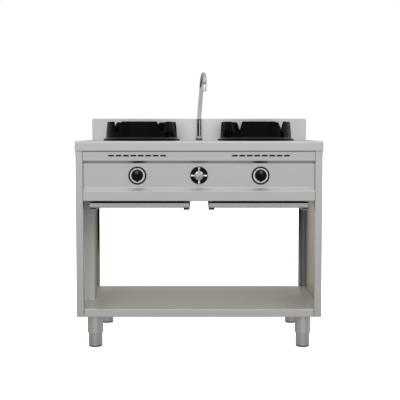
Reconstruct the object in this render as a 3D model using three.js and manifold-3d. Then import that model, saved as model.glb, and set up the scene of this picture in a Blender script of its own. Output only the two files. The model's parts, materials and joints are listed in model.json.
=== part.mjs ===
// Two-burner wok range on an open stand: stainless worktop with splashback, two cast-iron wok
// rings over round burners, a swivelling swan-neck water tap between them, a recessed control
// panel with two gas knobs and a cross-handled water valve, two slide-out drip trays, a lower
// shelf and four adjustable feet.
// Millimetres, +Z up. The range is laid out with Y measured from the front edge of the worktop
// towards the back and Z from the floor; the last lines move it so that the origin is the
// centre of the bottom of its box. The front faces -Y, and left and right are as seen from the
// front (left is -X).
import * as THREE from "three";
import { mergeVertices } from "three/addons/utils/BufferGeometryUtils.js";
import Module from "manifold-3d";

// ---------------------------------------------------------------- driving dimensions
const WIDTH = 1000; // worktop and stand
const DEPTH = 600;
const HEIGHT = 850; // worktop surface
const APRON = 40; // folded-down edge of the worktop
const SPLASH_H = 100; // splashback above the worktop
const SPLASH_T = 15;
const SHEET = 1.5; // stainless sheet
const GAP = 0.3; // between neighbouring pieces

const FRAME_FRONT = 13.5; // posts and fascia, behind the worktop's front edge
const FRAME_REAR = 586;
const POST_W = 30; // front face of a front post
const REAR_POST_W = 32;
const SHELF_TOP = 163.7;
const SHELF_BOTTOM = 131.5;
const BODY_BOTTOM = 606.8; // lower edge of the fascia
const PANEL_Y = 25.5; // recessed control panel
const PANEL_TOP = 761;
const PANEL_BOTTOM = 658;

const STATION_X = 250; // burner, ring and knob centres, either side
const BURNER_Y = 300;
const HOLE_R = 140; // burner opening in the worktop
const RING_FLANGE_R = 166;
const RING_H = 81; // wok ring above the worktop
// The two wok rings are castings of one profile with different openings in the wall. Each opening
// is a centre angle from the front, + to the right, and an outline of [distance along the wall,
// height above the worktop]. Notches are open at the rim, windows are closed above.
const RINGS = {
  left: {
    x: -250,
    notches: [
      [-44.5, [[-15, 38], [21, 38], [26, 70], [33, 78], [41, 86], [-20.5, 86]]],
      [39.5, [[-9.2, 38], [13.1, 38], [31, 86], [-28.7, 86]]],
      [78, [[-8, 38], [22.3, 38], [32.5, 86], [-13, 86]]],
      [158, [[-6, 45], [15.7, 45], [25.5, 86], [-25, 86], [-17.2, 71.8]]],
      [-121, [[-8, 64], [8, 64], [26, 86], [-26, 86]]],
    ],
    windows: [
      [47.8, [[-10.7, 14], [10.7, 14], [10.7, 33.5], [6, 36], [-6, 36], [-10.7, 33.5]]],
      [59.6, [[-2.5, 14], [17, 14], [4, 36], [-5, 45], [-9, 45]]],
    ],
  },
  right: {
    x: 246.4,
    notches: [
      [38.2, [[-1.5, 44], [22, 44], [38, 86], [-34, 86], [-28, 81.5], [-10, 77], [-7, 72]]],
      [-38.2, [[-13.1, 41], [22, 41], [33, 86], [-31, 86]]],
      [-78, [[-22.3, 38], [8, 38], [13, 86], [-32.5, 86]]],
      [-155, [[-12, 50], [10.5, 50], [21.5, 86], [-33, 86]]],
      [122.6, [[-8, 38], [8, 38], [31, 86], [-21, 86]]],
    ],
    windows: [
      [-48.2, [[-15, 13], [0, 13], [13, 36], [10, 37.5], [-16, 37.5]]],
      [-60.6, [[-9, 14], [9, 14], [9, 40], [6, 46], [-3, 46], [-9, 40]]],
      [43.1, [[-9.1, 13], [9.1, 13], [9.1, 37], [5, 40], [-5, 40], [-9.1, 37]]],
    ],
  },
};

const KNOB_Z = 710;
const KNOB_FRONT = -8;
const KNOB_PUSH = 4;
const HANDLE_Z = 711;

const TAP_Y = 530;
const TAP_JOINT_Z = 945;
const SWIVEL_DEG = 8; // the spout at rest points this far to the right of straight ahead
const SPOUT_R = 10;

const TRAY_X0 = 40.2; // inner end of each drip tray
const TRAY_X1 = 443.6; // outer end
const TRAY_Y0 = 17;
const TRAY_Y1 = 537;
const TRAY_Z0 = 579;
const TRAY_Z1 = 598.4;

const LEG_X = 430;
const LEG_Y = [66.5, 531.5];
const LEG_R = 32.3;
const FOOT_R = 28;
const LEG_Z = 59; // lower end of the fixed leg tube

const DUCT_X = -449; // right face of the service duct
const DUCT_Y = [207, 284];
const GAS_XY = [-476, 262];
const WATER_XY = [-476, 229];
const RAIL_TOP = 715;
const TUBE_Z = 748; // mixing tube of a burner

// ---------------------------------------------------------------- solids
const wasm = await Module();
wasm.setup();

// A closed geometry as a solid with its faces pointing out.
function solid(geometry) {
  const g = geometry.clone();
  for (const a of ["normal", "uv"]) if (g.getAttribute(a)) g.deleteAttribute(a);
  const m = mergeVertices(g, 1e-4);
  const tri = [];
  const ix = m.index.array;
  for (let i = 0; i < ix.length; i += 3)
    if (ix[i] !== ix[i + 1] && ix[i + 1] !== ix[i + 2] && ix[i] !== ix[i + 2])
      tri.push(ix[i], ix[i + 1], ix[i + 2]);
  const make = (t) =>
    new wasm.Manifold(
      new wasm.Mesh({
        numProp: 3,
        vertProperties: new Float32Array(m.attributes.position.array),
        triVerts: new Uint32Array(t),
      }),
    );
  const s = make(tri);
  if (s.volume() >= 0) return s;
  for (let i = 0; i < tri.length; i += 3) [tri[i + 1], tri[i + 2]] = [tri[i + 2], tri[i + 1]];
  return make(tri);
}
function geometryOf(s) {
  const m = s.getMesh();
  const n = m.numProp;
  const v = new Float32Array(m.numVert * 3);
  for (let i = 0; i < m.numVert; i++) v.set(m.vertProperties.subarray(i * n, i * n + 3), i * 3);
  const g = new THREE.BufferGeometry()
    .setAttribute("position", new THREE.BufferAttribute(v, 3))
    .setIndex(new THREE.BufferAttribute(new Uint32Array(m.triVerts), 1))
    .toNonIndexed();
  g.computeVertexNormals();
  return g;
}
const join = (...list) => list.reduce((a, b) => a.add(b));
const cut = (a, ...list) => list.reduce((s, b) => s.subtract(b), a);
const box = (x0, x1, y0, y1, z0, z1) =>
  solid(
    new THREE.BoxGeometry(x1 - x0, y1 - y0, z1 - z0).translate(
      (x0 + x1) / 2,
      (y0 + y1) / 2,
      (z0 + z1) / 2,
    ),
  );
const disc = (r, z0, z1, x, y, n = 24) =>
  solid(
    new THREE.CylinderGeometry(r, r, z1 - z0, n)
      .rotateX(Math.PI / 2)
      .translate(x, y, (z0 + z1) / 2),
  );
const rodY = (r, y0, y1, x, z, n = 16) =>
  solid(new THREE.CylinderGeometry(r, r, y1 - y0, n).translate(x, (y0 + y1) / 2, z));
const rodX = (r, x0, x1, y, z, n = 12) =>
  solid(
    new THREE.CylinderGeometry(r, r, x1 - x0, n)
      .rotateZ(Math.PI / 2)
      .translate((x0 + x1) / 2, y, z),
  );
// A profile of [radius, height] turned about a vertical or a front-to-back axis.
const turned = (profile, n, x, y) =>
  solid(
    new THREE.LatheGeometry(
      profile.map((p) => new THREE.Vector2(...p)),
      n,
    )
      .rotateX(Math.PI / 2)
      .translate(x, y, 0),
  );
const turnedY = (profile, n, x, z) =>
  solid(
    new THREE.LatheGeometry(
      profile.map((p) => new THREE.Vector2(...p)),
      n,
    ).translate(x, 0, z),
  );
const shapeOf = (pts) => new THREE.Shape(pts.map((p) => new THREE.Vector2(...p)));
const extruded = (pts, depth) =>
  new THREE.ExtrudeGeometry(shapeOf(pts), { depth, bevelEnabled: false, curveSegments: 1 });
// [y, z] outline along X; [x, y] outline along Z; [x, z] outline along Y.
const alongX = (pts, x0, x1) =>
  solid(
    extruded(pts, x1 - x0).applyMatrix4(
      new THREE.Matrix4().set(0, 0, 1, x0, 1, 0, 0, 0, 0, 1, 0, 0, 0, 0, 0, 1),
    ),
  );
const alongZ = (pts, z0, z1) => solid(extruded(pts, z1 - z0).translate(0, 0, z0));
const alongY = (pts, y0, y1) =>
  solid(
    extruded(pts, y1 - y0).applyMatrix4(
      new THREE.Matrix4().set(1, 0, 0, 0, 0, 0, -1, y1, 0, 1, 0, 0, 0, 0, 0, 1),
    ),
  );
// Corners of an open or closed line replaced by short arcs.
function rounded(pts, r, n = 2, closed = false) {
  const out = [];
  const N = pts.length;
  pts.forEach((p, i) => {
    if (!closed && (i === 0 || i === N - 1)) return out.push(p);
    const R = Array.isArray(r) ? r[i] : r;
    const a = new THREE.Vector2(...pts[(i + N - 1) % N]);
    const b = new THREE.Vector2(...p);
    const c = new THREE.Vector2(...pts[(i + 1) % N]);
    const u = a.clone().sub(b).normalize();
    const v = c.clone().sub(b).normalize();
    const ang = Math.acos(THREE.MathUtils.clamp(u.dot(v), -1, 1));
    if (!R || ang > 3.1) return out.push(p);
    const d = R / Math.tan(ang / 2);
    const mid = u.clone().add(v).normalize().multiplyScalar(R / Math.sin(ang / 2)).add(b);
    const s = u.clone().multiplyScalar(d).add(b).sub(mid);
    const e = v.clone().multiplyScalar(d).add(b).sub(mid);
    let t0 = Math.atan2(s.y, s.x);
    let t1 = Math.atan2(e.y, e.x);
    if (t1 - t0 > Math.PI) t1 -= 2 * Math.PI;
    if (t0 - t1 > Math.PI) t1 += 2 * Math.PI;
    for (let k = 0; k <= n; k++) {
      const t = t0 + ((t1 - t0) * k) / n;
      out.push([mid.x + R * Math.cos(t), mid.y + R * Math.sin(t)]);
    }
  });
  return out;
}
// The outline of folded sheet: the line of its outer face and the sheet's thickness, which lies
// to the left of the line (negative: to the right).
function folded(line, t) {
  const n = line.length;
  const other = line.map((p, i) => {
    const dirs = [];
    if (i > 0) dirs.push(new THREE.Vector2(p[0] - line[i - 1][0], p[1] - line[i - 1][1]).normalize());
    if (i < n - 1)
      dirs.push(new THREE.Vector2(line[i + 1][0] - p[0], line[i + 1][1] - p[1]).normalize());
    const normals = dirs.map((d) => new THREE.Vector2(-d.y, d.x));
    const m = normals.reduce((a, b) => a.clone().add(b)).normalize();
    return [p[0] + (m.x * t) / m.dot(normals[0]), p[1] + (m.y * t) / m.dot(normals[0])];
  });
  return [...line, ...other.reverse()];
}
// A tube along a line of points with bent corners, solid or with a bore.
function pipe(points, r, bore = 0, bend = 20, sides = 10, per = 4) {
  const v = points.map((p) => new THREE.Vector3(...p));
  const path = new THREE.CurvePath();
  let at = v[0];
  for (let i = 1; i < v.length - 1; i++) {
    const d0 = Math.min(bend, v[i].distanceTo(at) * 0.49, v[i].distanceTo(v[i - 1]) * 0.49);
    const d = Math.min(d0, v[i].distanceTo(v[i + 1]) * 0.49);
    const a = v[i].clone().add(v[i - 1].clone().sub(v[i]).setLength(d));
    const b = v[i].clone().add(v[i + 1].clone().sub(v[i]).setLength(d));
    path.add(new THREE.LineCurve3(at, a));
    path.add(new THREE.QuadraticBezierCurve3(a, v[i], b));
    at = b;
  }
  path.add(new THREE.LineCurve3(at, v[v.length - 1]));
  // sample each stretch by its own parameter, so that the bends keep their shape
  const samples = [path.curves[0].getPoint(0)];
  for (const c of path.curves)
    if (c instanceof THREE.LineCurve3) samples.push(c.getPoint(1));
    else for (let k = 1; k <= per; k++) samples.push(c.getPoint(k / per));
  return sweep(samples, r, bore, sides);
}
function sweep(samples, r, bore, sides) {
  // a polyline with the sample points as its own parameter steps
  class Line extends THREE.Curve {
    getPoint(t, target = new THREE.Vector3()) {
      const f = t * (samples.length - 1);
      const i = Math.min(samples.length - 2, Math.floor(f));
      return target.copy(samples[i]).lerp(samples[i + 1], f - i);
    }
    getPointAt(t, target) {
      return this.getPoint(t, target);
    }
    getTangentAt(t, target = new THREE.Vector3()) {
      const i = Math.round(t * (samples.length - 1));
      const a = samples[Math.max(0, i - 1)];
      const b = samples[Math.min(samples.length - 1, i + 1)];
      const c = samples[i];
      const u = c.clone().sub(a);
      const w = b.clone().sub(c);
      if (u.length() > 1e-9) u.normalize();
      if (w.length() > 1e-9) w.normalize();
      return target.copy(u.add(w)).normalize();
    }
    getSpacedPoints() {
      return samples.map((p) => p.clone());
    }
  }
  const ring = (R) =>
    [...Array(sides).keys()].map((k) => {
      const t = (2 * Math.PI * k) / sides;
      return new THREE.Vector2(R * Math.cos(t), R * Math.sin(t));
    });
  const shape = new THREE.Shape(ring(r));
  if (bore) shape.holes.push(new THREE.Path(ring(bore)));
  return solid(
    new THREE.ExtrudeGeometry(shape, {
      steps: samples.length - 1,
      extrudePath: new Line(),
      bevelEnabled: false,
      curveSegments: 1,
    }),
  );
}
// The same solid mirrored left to right.
function mirrored(s) {
  return solid(geometryOf(s).scale(-1, 1, 1));
}

// ---------------------------------------------------------------- the assembly
const range = new THREE.Group();
const body = new THREE.Group();
body.position.set(0, -(DEPTH + KNOB_FRONT) / 2, 0);
range.add(body);

const STEEL = { color: 0xb6b5b2, roughness: 0.38, metalness: 0.95 };
const STEEL_DARK = { color: 0x8f8d88, roughness: 0.5, metalness: 0.9 };
const CHROME = { color: 0xd9dadc, roughness: 0.08, metalness: 1 };
const IRON = { color: 0x171615, roughness: 0.62, metalness: 0.35 };
const BRASS = { color: 0xb08a45, roughness: 0.35, metalness: 1 };
const COPPER = { color: 0xb06a45, roughness: 0.4, metalness: 1 };
const BLACK = { color: 0x141414, roughness: 0.4, metalness: 0 };
const ALU = { color: 0xa9abac, roughness: 0.45, metalness: 0.9 };
const ZINC = { color: 0x9b9c9a, roughness: 0.5, metalness: 0.9 };

function piece(name, s, look) {
  const mesh = new THREE.Mesh(geometryOf(s), new THREE.MeshStandardMaterial(look));
  mesh.name = name;
  body.add(mesh);
  return mesh;
}

// ---- worktop: a pan of sheet turned upside down, with a rounded front bend, a hem inside the
// front apron, two burner openings and the tap hole
{
  const outer = rounded(
    [
      [0, HEIGHT - APRON],
      [0, HEIGHT],
      [DEPTH, HEIGHT],
      [DEPTH, HEIGHT - APRON],
    ],
    [0, 8, 0, 0],
    4,
  );
  const inner = rounded(
    [
      [SHEET, HEIGHT - APRON - 1],
      [SHEET, HEIGHT - SHEET],
      [DEPTH - SHEET, HEIGHT - SHEET],
      [DEPTH - SHEET, HEIGHT - APRON - 1],
    ],
    [0, 6.5, 0, 0],
    4,
  );
  const W = WIDTH / 2;
  let top = cut(alongX(outer, -W, W), alongX(inner, -W + SHEET, W - SHEET));
  top = join(
    top,
    box(-W + 1, W - 1, SHEET / 2, 12.3, HEIGHT - APRON, HEIGHT - APRON + SHEET),
  );
  for (const x of [-STATION_X, STATION_X])
    top = cut(top, disc(HOLE_R, HEIGHT - 5, HEIGHT + 5, x, BURNER_Y, 36));
  top = cut(top, disc(11.5, HEIGHT - 5, HEIGHT + 5, 0, TAP_Y, 16));
  piece("worktop", top, STEEL);
}

// ---- splashback: a folded hollow upstand with rounded top corners, open at the bottom
{
  const z0 = HEIGHT + GAP;
  const z1 = HEIGHT + SPLASH_H;
  const W = WIDTH / 2;
  const front = (w, top, r) =>
    rounded(
      [
        [-w, z0],
        [w, z0],
        [w, top],
        [-w, top],
      ],
      [0, 0, r, r],
      3,
      true,
    );
  const y0 = DEPTH - SPLASH_T;
  const cavity = front(W - SHEET, z1 - SHEET, 6).map(([x, z]) => [x, z < z0 + 1 ? z0 - 1 : z]);
  piece(
    "backsplash",
    cut(alongY(front(W, z1, 7.5), y0, DEPTH), alongY(cavity, y0 + SHEET, DEPTH - SHEET)),
    STEEL,
  );
}

// ---- side panels: one sheet each, folded into a front post and a lipped rear post
{
  const W = WIDTH / 2;
  const line = rounded(
    [
      [-W + POST_W, 30],
      [-W + POST_W, FRAME_FRONT],
      [-W, FRAME_FRONT],
      [-W, FRAME_REAR],
      [-W + REAR_POST_W, FRAME_REAR],
      [-W + REAR_POST_W, 571],
      [-483, 571],
    ],
    [0, 2.5, 2.5, 2.5, 2.5, 2.5, 0],
    2,
  );
  const left = alongZ(folded(line, -SHEET), SHELF_BOTTOM, HEIGHT - APRON - GAP);
  piece("left_side_panel", left, STEEL);
  piece("right_side_panel", mirrored(left), STEEL);
}

// ---- fascia: flush upper band with vent slots, recessed control panel, flush lower lip
{
  const line = rounded(
    [
      [45, 808.2],
      [FRAME_FRONT, 808.2],
      [FRAME_FRONT, 770],
      [PANEL_Y, PANEL_TOP],
      [PANEL_Y, PANEL_BOTTOM],
      [FRAME_FRONT, 648],
      [FRAME_FRONT, BODY_BOTTOM],
      [30, BODY_BOTTOM],
    ],
    [0, 3, 2.5, 2.5, 2.5, 2.5, 2.5, 0],
    2,
  );
  let f = alongX(folded(line, SHEET), -468, 468);
  for (const cx of [-STATION_X, STATION_X])
    for (let i = 0; i < 8; i++) {
      const x = cx + (i - 3.5) * 30;
      f = cut(f, box(x - 11.7, x + 11.7, 5, 25, 787.9, 794.2));
    }
  f = cut(
    f,
    rodY(8, 20, 35, -STATION_X, KNOB_Z),
    rodY(8, 20, 35, STATION_X, KNOB_Z),
    rodY(10, 20, 35, 0, HANDLE_Z),
  );
  piece("control_fascia", f, STEEL);
}

// ---- back of the burner compartment
piece(
  "rear_panel",
  alongX(
    folded(
      [
        [560, 808],
        [FRAME_REAR, 808],
        [FRAME_REAR, 607],
        [560, 607],
      ],
      -SHEET,
    ),
    -467.6,
    467.6,
  ),
  STEEL,
);

// ---- lower shelf: a pan turned upside down, notched round the front posts
{
  const line = rounded(
    [
      [30, SHELF_BOTTOM],
      [FRAME_FRONT, SHELF_BOTTOM],
      [FRAME_FRONT, SHELF_TOP],
      [569.7, SHELF_TOP],
      [569.7, SHELF_BOTTOM],
    ],
    [0, 2.5, 3, 3, 0],
    2,
  );
  let s = alongX(folded(line, -SHEET), -468, 468);
  for (const k of [-1, 1]) {
    const a = Math.min(k * 467, k * 498.2);
    const b = Math.max(k * 467, k * 498.2);
    const c = Math.min(k * 496.7, k * 498.2);
    const d = Math.max(k * 496.7, k * 498.2);
    s = join(
      s,
      box(a, b, 31.5, 569.7, SHELF_TOP - SHEET, SHELF_TOP),
      box(c, d, 31.5, 569.7, SHELF_BOTTOM, SHELF_TOP),
      box(Math.min(k * 467, k * 482), Math.max(k * 467, k * 482), 568.2, 569.7, SHELF_BOTTOM, SHELF_TOP - 0.5),
    );
  }
  s = cut(s, box(-491, -461, 216, 277, SHELF_TOP - 5, SHELF_TOP + 5));
  piece("lower_shelf", s, STEEL);
}

// ---- service duct: folded cover over the gas and water risers, on the left side panel
piece(
  "service_duct",
  alongZ(
    folded(
      [
        [-498.2, DUCT_Y[0]],
        [DUCT_X, DUCT_Y[0]],
        [DUCT_X, DUCT_Y[1]],
        [-498.2, DUCT_Y[1]],
      ],
      1.2,
    ),
    SHELF_TOP + GAP,
    630,
  ),
  STEEL,
);

// ---- two cross rails under the worktop that carry the burners
for (const [name, y0] of [
  ["front_burner_rail", 220],
  ["rear_burner_rail", 350],
])
  piece(
    name,
    alongX(
      folded(
        [
          [y0, RAIL_TOP - 25],
          [y0, RAIL_TOP],
          [y0 + 30, RAIL_TOP],
          [y0 + 30, RAIL_TOP - 25],
        ],
        -2,
      ),
      -498.2,
      498.2,
    ),
    STEEL_DARK,
  );

// ---- one burner station, left or right
function wokRing({ x, notches, windows }) {
  const z = HEIGHT;
  const profile = [
    [156, z + 3],
    [156, z + GAP],
    [RING_FLANGE_R, z + GAP],
    [RING_FLANGE_R, z + 6],
    [164, z + 8],
    [157, z + 9],
    [154, z + 12],
    [153, z + 38],
    [148.6, z + RING_H - 1.8],
    [147.6, z + RING_H],
    [139, z + RING_H],
    [136.8, z + RING_H - 2.5],
    [136, z + 40],
    [139, z + 3],
    [156, z + 3],
  ];
  const opening = ([deg, outline]) =>
    solid(
      geometryOf(
        alongY(
          outline.map(([a, h]) => [a, z + h]),
          -185,
          -110,
        ),
      ).rotateZ(THREE.MathUtils.degToRad(deg)),
    );
  const ring = cut(turned(profile, 36, 0, 0), ...[...notches, ...windows].map(opening));
  return solid(geometryOf(ring).translate(x, BURNER_Y, 0));
}

function station(side, cx) {
  const y = BURNER_Y;
  piece(`${side}_wok_ring`, wokRing(RINGS[side]), IRON);

  // combustion bowl hung by its rim in the worktop opening
  piece(
    `${side}_burner_bowl`,
    turned(
      [
        [151, HEIGHT + GAP],
        [151, HEIGHT + 2],
        [137, HEIGHT + 2],
        [97, 776],
        [99.2, 774.8],
        [138.4, HEIGHT + GAP],
        [151, HEIGHT + GAP],
      ],
      36,
      cx,
      y,
    ),
    STEEL_DARK,
  );

  // cast burner: foot plate on the rails, column, head cup and mixing tube with a flared mouth
  let burner = join(
    box(cx - 30, cx + 30, y - 75, y + 75, RAIL_TOP + GAP, RAIL_TOP + 7),
    disc(24, RAIL_TOP + 3, 772, cx, y, 16),
    disc(70, 765, 802, cx, y, 24),
    rodY(20, 172, y, cx, TUBE_Z, 14),
    turnedY(
      [
        [0, 165],
        [27, 165],
        [27, 170],
        [19, 187],
        [0, 187],
      ],
      16,
      cx,
      TUBE_Z,
    ),
  );
  burner = cut(
    burner,
    disc(62, 778, 810, cx, y, 24),
    disc(12, TUBE_Z + 2, 790, cx, y, 8),
    rodY(15.5, 160, y + 9, cx, TUBE_Z, 12),
  );
  piece(`${side}_burner`, burner, IRON);

  // cap with a ring of flame ports
  let cap = turned(
    [
      [0, 802.3],
      [68, 802.3],
      [68, 812],
      [60, 819],
      [0, 822],
    ],
    24,
    cx,
    y,
  );
  for (let i = 0; i < 12; i++) {
    const slot = new THREE.BoxGeometry(20, 6, 5).translate(66, 0, 804);
    cap = cut(cap, solid(slot.rotateZ((i * Math.PI) / 6).translate(cx, y, 0)));
  }
  piece(`${side}_burner_cap`, cap, BRASS);

  piece(
    `${side}_injector`,
    join(
      rodY(9, 130, 142, cx, TUBE_Z, 6),
      rodY(6, 141, 157, cx, TUBE_Z, 10),
    ),
    BRASS,
  );

  // gas valve on the manifold, with the bore that the spindle turns in
  let valve = join(
    box(cx - 17, cx + 17, 34, 84, 690, 732),
    disc(9, 679, 692, cx, 62, 12),
  );
  valve = cut(valve, rodY(8, 30, 72, cx, KNOB_Z, 12));
  piece(`${side}_gas_valve`, valve, BRASS);
  piece(
    `${side}_valve_spindle`,
    join(rodY(7.4, 34.5, 70, cx, KNOB_Z, 12), rodY(4, 8, 36, cx, KNOB_Z, 12)),
    ZINC,
  );

  // dial plate: black rim round a bright face
  piece(
    `${side}_knob_dial`,
    turnedY(
      [
        [7, PANEL_Y - GAP],
        [37, PANEL_Y - GAP],
        [36, 19.5],
        [32, 19.2],
        [31.4, 24],
        [7, 24],
        [7, PANEL_Y - GAP],
      ],
      28,
      cx,
      KNOB_Z,
    ),
    BLACK,
  );

  // knob: drop-shaped, with its nose down in the off position
  {
    const drop = (r, nose, up) => {
      const tip = -nose;
      const half = Math.asin(r / (up - tip));
      const start = -half; // tangent points either side of the tip
      const pts = [];
      const n = 14;
      for (let k = 0; k <= n; k++) {
        const t = start + ((Math.PI + 2 * half) * k) / n;
        pts.push([r * Math.cos(t), up + r * Math.sin(t)]);
      }
      pts.push([-1.2, tip + 0.6], [1.2, tip + 0.6]);
      return pts;
    };
    const layer = (r, nose, y0, y1) =>
      solid(
        geometryOf(alongY(drop(r, nose, 1.5), y0, y1)).translate(cx, 0, KNOB_Z),
      );
    // the flank is stepped in three levels that lean inwards
    const levels = [
      [23.6, 26, 6, 19.5],
      [22.2, 24.4, -3, 6.5],
      [19.5, 21.4, KNOB_FRONT, -2.5],
    ];
    let knob = join(...levels.map((l) => layer(...l)));
    knob = cut(knob, rodY(4.4, 3, 25, cx, KNOB_Z, 12));
    piece(`${side}_knob`, knob, BLACK);
  }

  // feed pipe from the valve to the injector
  piece(
    `${side}_gas_feed_pipe`,
    pipe(
      [
        [cx, 84.4, 718],
        [cx, 105, 718],
        [cx, 112, TUBE_Z],
        [cx, 129.6, TUBE_Z],
      ],
      5,
      0,
      12,
      8,
      3,
    ),
    ALU,
  );
  // pilot burner with its tube, and the thermocouple with its lead
  piece(
    `${side}_pilot_burner`,
    join(
      pipe(
        [
          [cx - 12, 85.6, 700],
          [cx - 24, 120, 706],
          [cx - 48, 205, 735],
          [cx - 50, 232, 745],
          [cx - 50, 232, 802],
        ],
        2.5,
        0,
        12,
        6,
        2,
      ),
      disc(6.5, 800, 826, cx - 50, 232, 10),
    ),
    BRASS,
  );
  piece(
    `${side}_thermocouple`,
    join(
      pipe(
        [
          [cx + 12, 85.2, 700],
          [cx + 24, 120, 706],
          [cx + 48, 205, 735],
          [cx + 50, 232, 745],
          [cx + 50, 232, 802],
        ],
        1.6,
        0,
        12,
        6,
        2,
      ),
      disc(3.4, 790, 828, cx + 50, 232, 8),
    ),
    COPPER,
  );
}
station("left", -STATION_X);
station("right", STATION_X);

// ---- gas: inlet riser through the duct, and the manifold behind the panel
piece(
  "gas_inlet_pipe",
  pipe(
    [
      [GAS_XY[0], GAS_XY[1], 108],
      [GAS_XY[0], GAS_XY[1], 668],
      [GAS_XY[0], 62, 668],
      [-452, 62, 668],
    ],
    10.6,
    8,
    20,
    8,
    2,
  ),
  ZINC,
);
piece(
  "gas_manifold",
  cut(rodX(10.6, -451.6, 285, 62, 668), rodX(8, -455, 280, 62, 668, 10)),
  ZINC,
);

// ---- water: inlet riser, valve, pipe to the tap
piece(
  "water_inlet_pipe",
  pipe(
    [
      [WATER_XY[0], WATER_XY[1], 108],
      [WATER_XY[0], WATER_XY[1], 645],
      [WATER_XY[0], 88, 645],
      [0, 88, 645],
      [0, 88, 694.6],
    ],
    7.5,
    6,
    20,
    8,
    2,
  ),
  COPPER,
);
piece(
  "water_valve",
  cut(
    join(box(-16, 16, 36, 98, 695, 728), rodY(11, 28, 40, 0, HANDLE_Z, 12)),
    rodY(7.5, 20, 70, 0, HANDLE_Z, 12),
  ),
  BRASS,
);
piece(
  "water_valve_spindle",
  join(rodY(7, 31, 66, 0, HANDLE_Z, 12), rodY(4, 2, 33, 0, HANDLE_Z, 12)),
  BRASS,
);
piece(
  "water_riser_pipe",
  pipe(
    [
      [0, 98.4, 716],
      [0, 125, 716],
      [0, 150, 732],
      [0, TAP_Y, 732],
      [0, TAP_Y, 799.6],
    ],
    6,
    0,
    25,
    8,
    3,
  ),
  COPPER,
);
piece(
  "water_handle_plate",
  turnedY(
    [
      [9, PANEL_Y - GAP],
      [36.75, PANEL_Y - GAP],
      [36.75, 22],
      [35.5, 21],
      [9, 20.4],
      [9, PANEL_Y - GAP],
    ],
    28,
    0,
    HANDLE_Z,
  ),
  BLACK,
);
{
  let h = turnedY(
    [
      [0, 19],
      [12, 19],
      [19.5, 5],
      [17, -2],
      [0, -6],
    ],
    20,
    0,
    HANDLE_Z,
  );
  for (const [dx, dz] of [
    [1, 0],
    [-1, 0],
    [0, 1],
    [0, -1],
  ]) {
    const arm = new THREE.LatheGeometry(
      [
        [0, 0],
        [3.6, 0],
        [3.4, 22],
        [4.6, 28],
        [4.4, 31.5],
        [0, 33.2],
      ].map((p) => new THREE.Vector2(...p)),
      8,
    ); // along +Y
    const q = new THREE.Quaternion().setFromUnitVectors(
      new THREE.Vector3(0, 1, 0),
      new THREE.Vector3(dx, 0, dz),
    );
    h = join(h, solid(arm.applyQuaternion(q).translate(0, 3, HANDLE_Z)));
  }
  h = cut(h, rodY(4.4, 0, 25, 0, HANDLE_Z, 12));
  piece("water_handle", h, CHROME);
}

// ---- tap: column clamped through the worktop, swivelling swan-neck spout and nozzle
{
  const z = TAP_JOINT_Z;
  const column = cut(
    turned(
      [
        [0, 800],
        [9.5, 800],
        [9.5, HEIGHT + GAP],
        [15.8, HEIGHT + GAP],
        [15.8, 860],
        [9.85, 869],
        [9.85, z],
        [0, z],
      ],
      18,
      0,
      TAP_Y,
    ),
    disc(6.5, z - 20, z + 1, 0, TAP_Y, 12),
  );
  piece("tap_column", column, CHROME);
  piece(
    "tap_lock_nut",
    cut(disc(17, 838, 848.2, 0, TAP_Y, 6), disc(9.9, 830, 850, 0, TAP_Y, 16)),
    BRASS,
  );
  const a = THREE.MathUtils.degToRad(SWIVEL_DEG);
  const at = (s, h) => new THREE.Vector3(s * Math.sin(a), TAP_Y - s * Math.cos(a), h);
  const curve = new THREE.CatmullRomCurve3(
    [
      [0, z + 5],
      [3, z + 14],
      [12, 976],
      [40, 1022],
      [69, 1070],
      [93, 1109],
      [112, 1131],
      [134, 1142.5],
      [155, 1134],
      [168.3, 1116],
      [171.8, 1104],
      [172, 1094],
    ].map(([s, h]) => at(s, h)),
  );
  const n = at(172, 0);
  let spout = join(
    turned(
      [
        [0, z - 18],
        [6, z - 18],
        [6, z + GAP],
        [10.3, z + GAP],
        [10.3, z + 6],
        [9.3, z + 8],
        [0, z + 8],
      ],
      16,
      0,
      TAP_Y,
    ),
    sweep(curve.getSpacedPoints(20), SPOUT_R, 0, 12),
  );
  // its mouth is level, above the nozzle
  spout = cut(spout, box(n.x - 20, n.x + 20, n.y - 16, n.y + 16, 1080, 1096));
  piece("tap_spout", spout, CHROME);
  piece(
    "tap_nozzle",
    turned(
      [
        [0, 1095.6],
        [9.4, 1095.6],
        [10.6, 1093],
        [10.6, 1066],
        [8, 1066],
        [8, 1071],
        [0, 1071],
      ],
      16,
      n.x,
      n.y,
    ),
    CHROME,
  );
}

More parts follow.
